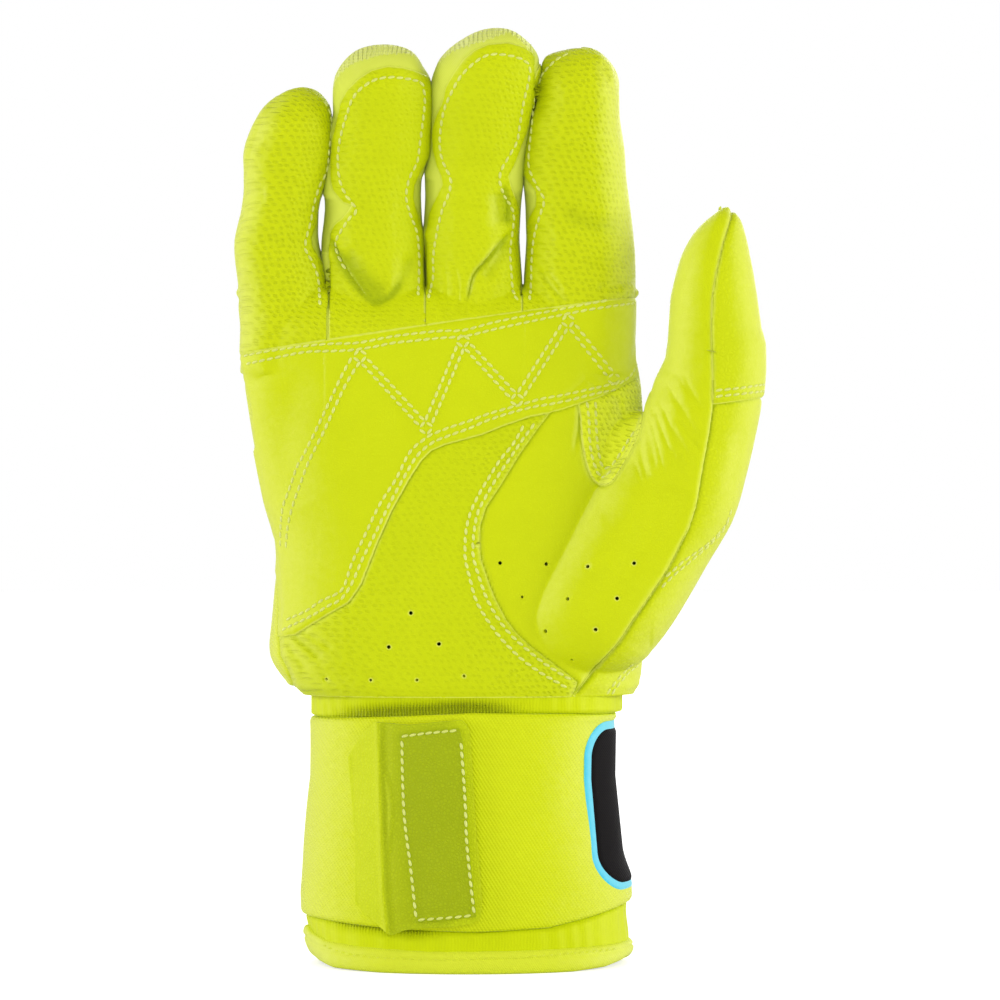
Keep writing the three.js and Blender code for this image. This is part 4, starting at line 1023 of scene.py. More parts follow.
def split_skin():
    """Cuts the skin along the panels' edges and makes an object of each panel."""
    shape = bmesh.new()
    shape.from_mesh(skin)
    lines = [Fields.finger, Fields.panel, Fields.finger_back, Fields.overlay, Fields.gusset, Fields.thumb,
             Fields.gore, Fields.left_side, Fields.cap, Fields.band, Fields.thumb_side, Fields.hem]
    lines += [lambda at, gap=gap: at.gap(gap) for gap in range(3)]
    for line in lines:
        cut(shape, lambda co, line=line: line(Fields(co)))
    pierce(shape)
    for face, number in zip(shape.faces, face_labels(face_middles(shape))):
        face.material_index = int(number)
        face.smooth = True
    whole = bpy.data.meshes.new("skin_cut")
    shape.to_mesh(whole)
    shape.free()
    for name in PANELS:
        whole.materials.append(bpy.data.materials.new("panel_" + name))
    source = new_object("skin_cut", whole)
    before = set(scene.objects)
    bpy.ops.object.select_all(action="DESELECT")
    bpy.context.view_layer.objects.active = source
    source.select_set(True)
    bpy.ops.object.mode_set(mode="EDIT")
    bpy.ops.mesh.separate(type="MATERIAL")
    bpy.ops.object.mode_set(mode="OBJECT")
    found = [source] + [o for o in scene.objects if o not in before]
    panels = {}
    for piece in found:
        number = piece.data.polygons[0].material_index
        name = piece.data.materials[number].name[len("panel_"):]
        panels[name] = piece
        piece.name = piece.data.name = name
        piece.data.materials.clear()
    for name in PANELS:
        bpy.data.materials.remove(bpy.data.materials["panel_" + name])
    return panels


def wall(piece, thickness):
    """Gives a sheet its thickness, with crisp cut edges, and bakes it."""
    solid = piece.modifiers.new("wall", "SOLIDIFY")
    solid.thickness, solid.offset = thickness, -1.0
    count = len(piece.data.polygons)
    mesh = baked(piece, piece.name)
    starts = np.empty(len(mesh.polygons), dtype=np.int32)
    mesh.polygons.foreach_get("loop_start", starts)
    corners = np.empty(len(mesh.loops), dtype=np.int32)
    mesh.loops.foreach_get("edge_index", corners)
    if len(starts) > 2 * count:
        crisp = np.zeros(len(mesh.edges), dtype=bool)
        crisp[corners[starts[2 * count]:]] = True
        mark = mesh.attributes.get("sharp_edge") or mesh.attributes.new("sharp_edge", "BOOLEAN", "EDGE")
        mark.data.foreach_set("value", crisp)
    piece.modifiers.clear()
    old = piece.data
    piece.data = mesh
    bpy.data.meshes.remove(old)
    return piece


def row_point(x, y, z):
    """A point of the drawing, in metres in the frame."""
    return (MM * (x + SHIFT[0]), MM * (y + SHIFT[1]), MM * z)


FULL_MARGIN = 6.0


def edge_margin(mesh, co):
    """How far each point of a sheet is from the sheet's own edge, in millimetres, up to FULL_MARGIN."""
    pairs = edge_pairs(mesh)
    edges = np.empty(len(mesh.loops), dtype=np.int32)
    mesh.loops.foreach_get("edge_index", edges)
    rim = np.unique(pairs[np.bincount(edges, minlength=len(pairs)) == 1])
    rim = rim[Fields(co[rim]).to_slit() > 0.2]
    if not len(rim):
        return np.full(len(co), FULL_MARGIN)
    tree = KDTree(len(rim))
    for number in rim:
        tree.insert(co[number], int(number))
    tree.balance()
    return np.array([min(tree.find(spot)[2], FULL_MARGIN) for spot in co])


def add_rest(piece):
    """Keeps where each point was made, in millimetres, and how far it faces to the left or right, which sets a painted
    sheen; near the slits the fingers get none.
    """
    mesh = piece.data
    co = coords(mesh)
    made = mesh.attributes.get("rest") or mesh.attributes.new("rest", "FLOAT_VECTOR", "POINT")
    made.data.foreach_set("vector", co.astype(np.float32).ravel())
    outer = np.abs(normals(mesh)[:, 0])
    if piece.name.split("_")[0] in NAMES:
        outer *= smooth_step(Fields(co).to_slit(), 2.5, 8)
    field_of(mesh, "outer", outer)
    if "margin" not in mesh.attributes:
        field_of(mesh, "margin", np.full(len(co), FULL_MARGIN))


def place_piece(piece, carrier, material, stands_for=(), slot=None):
    """Moves a piece from the drawing to the frame and gives it its finish. It joins the piece to its carrier only when
    the carrier is a single body; a carrier that spans two bodies leaves the piece fixed in the frame.
    """
    add_rest(piece)
    piece.data.transform(Matrix.Translation(row_point(0, 0, 0)) @ Matrix.Scale(MM, 4))
    piece.data.update()
    piece.data.materials.clear()
    piece.data.materials.append(material)
    if isinstance(carrier, str):
        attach(piece, carrier)
    else:
        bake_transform(piece)
    if stands_for:
        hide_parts(*stands_for)
    return piece


def along(point, direction, distance):
    return tuple(np.array(point) + np.array(direction) * distance)


KNUCKLE_LINE = (-PALM_LEAN, -20.78, KNUCKLE_Z)
KNUCKLE_UP = (-math.sin(SLOPE), 0, math.cos(SLOPE))
over_knuckles = ("hand", "knuckles", along(KNUCKLE_LINE, KNUCKLE_UP, -14), KNUCKLE_LINE)
joints = {joint["name"]: np.array(joint["pos_m"]) / MM - SHIFT for joint in frame["joints"]}


def finger_bend(number):
    """The carrier of a finger's pieces: its two bodies and the ends of a 12 mm span round its joint."""
    height = FINGER_BASE + BENDS[number] * LENGTHS[number]
    lean = float(curl(height)[1])
    middle = joints[NAMES[number] + "_finger_bend"]
    up = (0, -math.sin(lean), math.cos(lean))
    return ("knuckles", NAMES[number] + "_tip", along(middle, up, -6), along(middle, up, 6))


THUMB_UP = (0.28, 0, 0.96)
THUMB_END = (48.0, -24.0, 144.5)
over_thumb = ("hand", "thumb_tip", along(THUMB_END, THUMB_UP, -12), THUMB_END)


def cuff_size(z):
    """Half the width and half the depth of the cuff's knit at a height."""
    above = [[80, 0.469 * CUFF_WIDTH, 0.464 * CUFF_DEPTH]]
    rows = np.vstack([cuff_rows * [CUFF_HEIGHT, CUFF_WIDTH, CUFF_DEPTH], above])
    z = np.asarray(z, float)
    return np.interp(z, rows[:, 0], rows[:, 1]), np.interp(z, rows[:, 0], rows[:, 2])


def cuff_point(turn, z, out):
    """Points on the cuff: round it by an angle, at a height, this far outside the knit."""
    wide, deep = cuff_size(z)
    across, through = squared(np.cos(turn), CUFF_SQUARENESS), squared(np.sin(turn), CUFF_SQUARENESS)
    return np.column_stack([across * (wide + out), through * (deep + out), z + 0 * turn])


def band(name, profile, around, place):
    """A closed band round the cuff. profile is a loop of (out, height share); place turns both into points."""
    shape = bmesh.new()
    steps = len(profile)
    bmesh.ops.create_grid(shape, x_segments=around, y_segments=steps, size=0.5)
    grid = vert_spots(shape)
    turn = (grid[:, 0] + 0.5) * 2 * math.pi
    row = np.round((grid[:, 1] + 0.5) * steps).astype(int) % steps
    move_verts(shape, place(turn, profile[row, 0], profile[row, 1]))
    bmesh.ops.remove_doubles(shape, verts=shape.verts, dist=0.002)
    bmesh.ops.recalc_face_normals(shape, faces=shape.faces)
    smooth_faces(shape)
    return as_object(name, shape)


def strap_edges(turn):
    """Bottom and top of the strap round the cuff."""
    x = np.cos(turn) * CUFF_WIDTH / 2
    behind = smooth_step(np.sin(turn), 0.0, 0.7)
    top = np.interp(x, [-40, -18, 2, 25, 40], [62.6, 63.6, 64.6, 64.2, 63.4])
    bottom = np.interp(x, [-40, -20, 2, 20, 30, 40], [13.0, 11.6, 10.6, 11.4, 13.6, 16.4])
    return bottom + (12.0 - bottom) * behind, top + (63.5 - top) * behind


def front_of_cuff(x, z, out):
    """Depth of the cuff's front at a place, this far outside the knit."""
    wide, deep = cuff_size(z)
    share = np.clip(1 - (np.abs(x) / (wide + out)) ** CUFF_SQUARENESS, 0.0, 1)
    return -(deep + out) * share ** (1 / CUFF_SQUARENESS)


def from_picture(spots, depth_at):
    """Points behind picture spots, on a surface that gives a depth for x and z."""
    y = np.full(len(spots), -25.0)
    for turn in range(8):
        scale = (VIEW_MM + y) / VIEW_MM * PIXEL_MM
        x, z = VIEW_X + (spots[:, 0] - MIDDLE_PX) * scale, VIEW_Z + (MIDDLE_PX - spots[:, 1]) * scale
        y = 0.5 * y + 0.5 * depth_at(x, z)
    return np.column_stack([x, y, z])


def flat_piece(name, outline, depth_at, thickness, step=2.4):
    """A piece cut from a sheet along an outline in the picture, lying on a surface."""
    outline = np.array(outline, float)
    low_corner, high_corner = outline.min(0) - 3, outline.max(0) + 3
    shape = bmesh.new()
    span = high_corner - low_corner
    bmesh.ops.create_grid(shape, x_segments=int(span[0] / step), y_segments=int(span[1] / step), size=0.5)
    spots = low_corner + (vert_spots(shape)[:, :2] + 0.5) * span
    move_verts(shape, from_picture(spots, depth_at))
    cut(shape, lambda co: inside(picture(co), outline))
    drop_faces(shape, inside(picture(face_middles(shape)), outline) <= 0)
    smooth_faces(shape)
    if sum(face.normal.y for face in shape.faces) > 0:
        bmesh.ops.reverse_faces(shape, faces=shape.faces)
    return wall(as_object(name, shape), thickness)


def srgb(r, g, b):
    """A colour given in sRGB, 0 to 255, as the linear colour that shaders take."""
    return tuple(((c / 255 + 0.055) / 1.055) ** 2.4 if c > 10 else c / 255 / 12.92 for c in (r, g, b)) + (1.0,)


def feed(tree, socket, value):
    """Links an output to a socket, or sets the socket to a value."""
    if isinstance(value, bpy.types.NodeSocket):
        tree.links.new(value, socket)
    else:
        socket.default_value = value


def add(tree, kind, settings=None, **sockets):
    """Adds a node. Settings are its own options; sockets are values or the outputs that feed it."""
    node = tree.nodes.new("ShaderNode" + kind)
    for key, value in (settings or {}).items():
        setattr(node, key, value)
    for key, value in sockets.items():
        numbered = key[0] == "i" and key[1:].isdigit()
        feed(tree, node.inputs[int(key[1:])] if numbered else node.inputs[key.replace("_", " ")], value)
    return node


def math_node(tree, operation, a, b=0.0, c=0.0):
    return add(tree, "Math", {"operation": operation}, i0=a, i1=b, i2=c).outputs[0]


def times(tree, a, b):
    return math_node(tree, "MULTIPLY", a, b)


def ramp(tree, value, start, end, low_end=0.0, high_end=1.0):
    return add(tree, "MapRange", {"interpolation_type": "SMOOTHSTEP"}, Value=value, From_Min=start, From_Max=end,
               To_Min=low_end, To_Max=high_end).outputs["Result"]


def mix_colour(tree, amount, a, b, blend="MIX"):
    node = add(tree, "Mix", {"data_type": "RGBA", "blend_type": blend}, i0=amount)
    feed(tree, node.inputs[6], a)
    feed(tree, node.inputs[7], b)
    return node.outputs[2]


def start_group(name, inputs, outputs):
    """A node group with a Vector input and named value inputs and outputs."""
    tree = bpy.data.node_groups.new(name, "ShaderNodeTree")
    tree.interface.new_socket("Vector", in_out="INPUT", socket_type="NodeSocketVector")
    for label, usual in inputs:
        tree.interface.new_socket(label, in_out="INPUT", socket_type="NodeSocketFloat").default_value = usual
    for label in outputs:
        tree.interface.new_socket(label, in_out="OUTPUT", socket_type="NodeSocketFloat")
    return tree, tree.nodes.new("NodeGroupInput"), tree.nodes.new("NodeGroupOutput")


def noise(tree, vector, scale, detail=2.0, roughness=0.5):
    return add(tree, "TexNoise", Vector=vector, Scale=scale, Detail=detail, Roughness=roughness).outputs["Fac"]


def make_grain():
    """Leather grain: small pebbles with creases between them, and finer pores."""
    tree, given, out = start_group("grain", [("Size", 1.0), ("Pores", 0.4)], ["Height", "Creases"])
    vector = given.outputs["Vector"]
    scale = math_node(tree, "DIVIDE", 1.0, given.outputs["Size"])
    cells = add(tree, "TexVoronoi", {"feature": "DISTANCE_TO_EDGE"}, Vector=vector, Scale=scale)
    creases = ramp(tree, cells.outputs["Distance"], 0.02, 0.3, 1.0, 0.0)
    fine = noise(tree, vector, times(tree, scale, 3.2), 3.0, 0.6)
    pores = times(tree, math_node(tree, "SUBTRACT", fine, 0.5), given.outputs["Pores"])
    height = math_node(tree, "SUBTRACT", pores, times(tree, creases, 0.6))
    tree.links.new(height, out.inputs["Height"])
    tree.links.new(creases, out.inputs["Creases"])
    return tree


def make_embossing():
    """Short dashes pressed into the leather, in staggered rows that wander a little."""
    sizes = [("Along", 1.9), ("Rows", 1.45), ("Bend", 5.0)]
    tree, given, out = start_group("embossing", sizes, ["Height", "Dashes"])
    vector = given.outputs["Vector"]
    wander = add(tree, "TexNoise", Vector=vector, Scale=0.035, Detail=1.0)
    shift = add(tree, "VectorMath", {"operation": "MULTIPLY_ADD"}, i0=wander.outputs["Color"])
    scale = add(tree, "CombineXYZ", X=given.outputs["Bend"], Y=0.0, Z=given.outputs["Bend"])
    tree.links.new(scale.outputs[0], shift.inputs[1])
    tree.links.new(vector, shift.inputs[2])
    parts = add(tree, "SeparateXYZ", Vector=shift.outputs[0])
    row = math_node(tree, "DIVIDE", parts.outputs["Z"], given.outputs["Rows"])
    across = math_node(tree, "MULTIPLY_ADD", parts.outputs["Y"], 0.8, parts.outputs["X"])
    place = math_node(tree, "MULTIPLY_ADD", row, 0.5, math_node(tree, "DIVIDE", across, given.outputs["Along"]))
    flat = add(tree, "CombineXYZ", X=place, Y=row, Z=0.0)
    cells = add(tree, "TexVoronoi", {"voronoi_dimensions": "2D"}, Vector=flat.outputs[0], Scale=1.0, Randomness=0.42)
    dashes = ramp(tree, cells.outputs["Distance"], 0.1, 0.4, 1.0, 0.0)
    across = add(tree, "SeparateXYZ", Vector=vector).outputs["X"]
    sideways = math_node(tree, "ABSOLUTE", math_node(tree, "ADD", across, 8.0))
    patches = math_node(tree, "MULTIPLY_ADD", noise(tree, vector, 0.06, 2.0), 34.0, sideways)
    dashes = times(tree, dashes, ramp(tree, patches, 20.0, 56.0, 0.42, 1.0))
    fine = noise(tree, vector, 2.2, 3.0, 0.6)
    height = math_node(tree, "SUBTRACT", times(tree, fine, 0.25), dashes)
    tree.links.new(height, out.inputs["Height"])
    tree.links.new(dashes, out.inputs["Dashes"])
    return tree


def make_twill():
    """A diagonal weave with the thread ends showing."""
    tree, given, out = start_group("twill", [("Pitch", 0.9)], ["Height", "Gaps"])
    parts = add(tree, "SeparateXYZ", Vector=given.outputs["Vector"])
    turn = math_node(tree, "DIVIDE", 2 * math.pi, given.outputs["Pitch"])
    slope = math_node(tree, "ADD", parts.outputs["X"], times(tree, parts.outputs["Z"], 0.62))
    lines = math_node(tree, "SINE", times(tree, slope, turn))
    cross = math_node(tree, "SINE", times(tree, times(tree, parts.outputs["Z"], turn), 1.6))
    cloth = math_node(tree, "ADD", times(tree, lines, 0.65), times(tree, cross, 0.35))
    fuzz = times(tree, noise(tree, given.outputs["Vector"], 4.0, 2.0), 0.4)
    tree.links.new(math_node(tree, "ADD", cloth, fuzz), out.inputs["Height"])
    tree.links.new(ramp(tree, cloth, -0.75, 0.1, 1.0, 0.0), out.inputs["Gaps"])
    return tree


def make_ribs():
    """Upright knitted ribs, each made of short loops."""
    tree, given, out = start_group("ribs", [("Pitch", 0.8), ("Strength", 1.0)], ["Height", "Gaps"])
    parts = add(tree, "SeparateXYZ", Vector=given.outputs["Vector"])
    turn = math_node(tree, "DIVIDE", 2 * math.pi, given.outputs["Pitch"])
    sway = times(tree, noise(tree, given.outputs["Vector"], 0.3, 1.0), 0.8)
    ribs = math_node(tree, "SINE", times(tree, math_node(tree, "ADD", parts.outputs["X"], sway), turn))
    loops = math_node(tree, "SINE", times(tree, times(tree, parts.outputs["Z"], turn), 1.3))
    knit = math_node(tree, "ADD", ribs, times(tree, loops, 0.3))
    strength = ramp(tree, given.outputs["Strength"], 0.0, 0.8, 0.09, 1.0)
    tree.links.new(times(tree, knit, strength), out.inputs["Height"])
    gaps = ramp(tree, ribs, -0.9, 0.2, 1.0, 0.0)
    tree.links.new(times(tree, gaps, strength), out.inputs["Gaps"])
    return tree


def make_wear_and_painted_light():
    """Broad uneven colour, paler cut edges that are edge wear with a painted highlight, a painted sheen on faces that
    turn sideways, and painted shade in creases and recesses.
    """
    places = [("Margin", FULL_MARGIN), ("Hollow", 0.0), ("Outer", 0.0)]
    tree, given, out = start_group("ageing", places, ["Cloud", "Edge", "Shade", "Rub"])
    broad = noise(tree, given.outputs["Vector"], 0.05, 3.0, 0.55)
    patchy = noise(tree, given.outputs["Vector"], 0.6, 3.0, 0.6)
    tree.links.new(ramp(tree, broad, 0.35, 0.68), out.inputs["Cloud"])
    # Paler cut edges: edge wear with a painted highlight
    edge_wear_and_highlight = math_node(tree, "MULTIPLY_ADD", patchy, 0.35, given.outputs["Margin"])
    tree.links.new(ramp(tree, edge_wear_and_highlight, 0.25, 0.62, 1.0, 0.0), out.inputs["Edge"])
    # Painted shade in creases and recesses
    tree.links.new(ramp(tree, given.outputs["Hollow"], 0.12, 1.0), out.inputs["Shade"])
    # Painted sheen on faces that turn sideways
    outer = math_node(tree, "MULTIPLY_ADD", patchy, 0.3, given.outputs["Outer"])
    tree.links.new(ramp(tree, outer, 0.4, 1.15, 0.0, 0.75), out.inputs["Rub"])
    return tree


GRAIN, EMBOSSING, TWILL, RIBS, WEAR_AND_PAINTED_LIGHT = make_grain(), make_embossing(), make_twill(), make_ribs(), make_wear_and_painted_light()


def use(tree, group_tree, vector, **values):
    """Adds a node group to a material. Values are numbers or the outputs that feed it."""
    node = tree.nodes.new("ShaderNodeGroup")
    node.node_tree = group_tree
    tree.links.new(vector, node.inputs["Vector"])
    for key, value in values.items():
        feed(tree, node.inputs[key], value)
    return node


def finish(name, base, deep, pale, layers, roughness=0.5, sheen=0.04, rim=0.7, gloss=0.16, cloud=0.35, shade=0.6):
    """A material of one colour family. Each layer is (group, its values, mask, dark share, bump height in mm)."""
    material = bpy.data.materials.new(name)
    material.use_nodes = True
    tree = material.node_tree
    shader = tree.nodes["Principled BSDF"]
    vector = add(tree, "Attribute", {"attribute_name": "rest"}).outputs["Vector"]
    margin, hollow, outer = (add(tree, "Attribute", {"attribute_name": field}).outputs["Fac"]
                             for field in ("margin", "hollow", "outer"))
    ageing = use(tree, WEAR_AND_PAINTED_LIGHT, vector, Margin=margin, Hollow=hollow, Outer=outer)
    tinged = tuple(b + (d - b) * 0.22 for b, d in zip(base, deep))
    colour = mix_colour(tree, times(tree, ageing.outputs["Cloud"], cloud), base, tinged)
    normal = None
    rough = math_node(tree, "MULTIPLY_ADD", ageing.outputs["Cloud"], 0.08, roughness)
    for group_tree, values, mask, share, height in layers:
        values = {key: hollow if value == "hollow" else value for key, value in values.items()}
        layer = use(tree, group_tree, vector, **values)
        colour = mix_colour(tree, times(tree, layer.outputs[mask], share), colour, deep)
        bump = add(tree, "Bump", Strength=1.0, Distance=height * MM, Height=layer.outputs["Height"])
        if normal is not None:
            tree.links.new(normal, bump.inputs["Normal"])
        normal = bump.outputs["Normal"]
        rough = math_node(tree, "MULTIPLY_ADD", layer.outputs[mask], 0.1, rough)
    # Painted shade where the mesh marks creases, recesses and slits
    colour = mix_colour(tree, times(tree, ageing.outputs["Shade"], shade), colour, deep, "MULTIPLY")
    # Painted sheen on faces that turn sideways
    colour = mix_colour(tree, ageing.outputs["Rub"], colour, pale)
    # Paler cut edges: edge wear with a painted highlight
    colour = mix_colour(tree, times(tree, ageing.outputs["Edge"], rim), colour, pale)
    tree.links.new(colour, shader.inputs["Base Color"])
    tree.links.new(rough, shader.inputs["Roughness"])
    if normal is not None:
        tree.links.new(normal, shader.inputs["Normal"])
    for socket, value in (("Sheen Weight", sheen), ("Sheen Roughness", 0.3), ("Sheen Tint", (1, 1, 0.85, 1)),
                          ("Specular IOR Level", gloss)):
        shader.inputs[socket].default_value = value
    return material


dashes = (EMBOSSING, {}, "Dashes", 0.34, 0.2)
fine_grain = (GRAIN, {"Size": 0.7, "Pores": 0.5}, "Creases", 0.08, 0.05)
leather = finish("smooth_leather", srgb(203, 215, 4), srgb(168, 182, 0), srgb(224, 231, 96),
                 [fine_grain], 0.36)
textured = finish("textured_leather", srgb(200, 213, 2), srgb(166, 181, 0), srgb(222, 230, 92),
                  [dashes, fine_grain], 0.4)
# The textured leather again, painted lighter for the crotch gusset: painted light where the crotch lies in shade
crotch_painted_light = finish("crotch_leather", srgb(223, 234, 40), srgb(186, 200, 0), srgb(226, 233, 104),
                [dashes, fine_grain], 0.4)
finger_leather = finish("finger_leather", srgb(202, 214, 3), srgb(166, 181, 0), srgb(226, 233, 104),
                        [(EMBOSSING, {"Along": 1.8, "Rows": 1.45}, "Dashes", 0.28, 0.17), fine_grain], 0.38)
lycra = finish("fourchette_cloth", srgb(216, 226, 84), srgb(178, 192, 20), srgb(232, 238, 140),
               [(TWILL, {"Pitch": 0.45}, "Gaps", 0.15, 0.03)], 0.6, 0.12, 0.4)
ribbed_tip = finish("ribbed_tip", srgb(228, 236, 118), srgb(208, 219, 80), srgb(240, 244, 170),
                    [(RIBS, {"Pitch": 1.15}, "Gaps", 0.18, 0.2)], 0.55, 0.12, 0.6, 0.3)
back_skin = finish("back_leather", srgb(204, 216, 8), srgb(168, 184, 0), srgb(224, 231, 96),
                   [(GRAIN, {"Size": 1.1, "Pores": 0.6}, "Creases", 0.14, 0.09)], 0.42)
stretch = finish("stretch_cloth", srgb(211, 222, 14), srgb(176, 192, 0), srgb(226, 233, 104),
                 [(TWILL, {"Pitch": 0.9}, "Gaps", 0.22, 0.07)], 0.46, 0.12, 0.4)
# The knit's dark deep colour is the painted shadow in the bands beside the strap's edges, where its ribs also show most
knit = finish("ribbed_knit", srgb(204, 217, 3), srgb(128, 142, 0), srgb(214, 224, 60),
              [(RIBS, {"Pitch": 0.78, "Strength": "hollow"}, "Gaps", 0.6, 0.22)], 0.7, 0.1, 0.2, 0.15, shade=0.36)
tape = finish("binding_tape", srgb(219, 229, 54), srgb(192, 206, 20), srgb(230, 237, 120),
              [(TWILL, {"Pitch": 0.55}, "Gaps", 0.18, 0.05)], 0.6, 0.12, 0.5)
tab_skin = finish("tab_leather", srgb(203, 217, 3), srgb(150, 164, 0), srgb(212, 223, 40),
                  [(GRAIN, {"Size": 0.85, "Pores": 0.8}, "Creases", 0.22, 0.12)], 0.45, 0.05, gloss=0.2)
tab_dark = finish("tab_patch_leather", srgb(166, 182, 2), srgb(124, 138, 0), srgb(184, 198, 20),
                  [(GRAIN, {"Size": 0.8, "Pores": 0.9}, "Creases", 0.25, 0.12)], 0.42, 0.05, 0.3, 0.2)
hooks = finish("hook_tape", srgb(160, 176, 4), srgb(110, 124, 0), srgb(184, 198, 20),
               [(GRAIN, {"Size": 0.5, "Pores": 1.0}, "Creases", 0.4, 0.2)], 0.8, 0.05, 0.3)
black = finish("patch_black", srgb(20, 18, 19), srgb(10, 9, 10), srgb(30, 28, 29),
               [(TWILL, {"Pitch": 0.5}, "Gaps", 0.4, 0.04)], 0.7, 0.0, 0.5, 0.06)
cyan = finish("patch_rim", srgb(58, 196, 226), srgb(20, 170, 208), srgb(130, 220, 238),
              [(GRAIN, {"Size": 0.6, "Pores": 0.4}, "Creases", 0.08, 0.03)], 0.4, 0.05, 0.6, 0.5, 0.3)
thread = finish("thread", srgb(232, 239, 128), srgb(205, 217, 60), srgb(244, 247, 180),
                [(TWILL, {"Pitch": 0.3}, "Gaps", 0.3, 0.05)], 0.5, 0.1, 0.0)


def beside(points, distance):
    """A line beside another one, this many pixels to its left."""
    line = smooth_line(points, 6)
    run = np.gradient(line, axis=0)
    run /= np.linalg.norm(run, axis=1)[:, None]
    return line + np.column_stack([run[:, 1], -run[:, 0]]) * distance


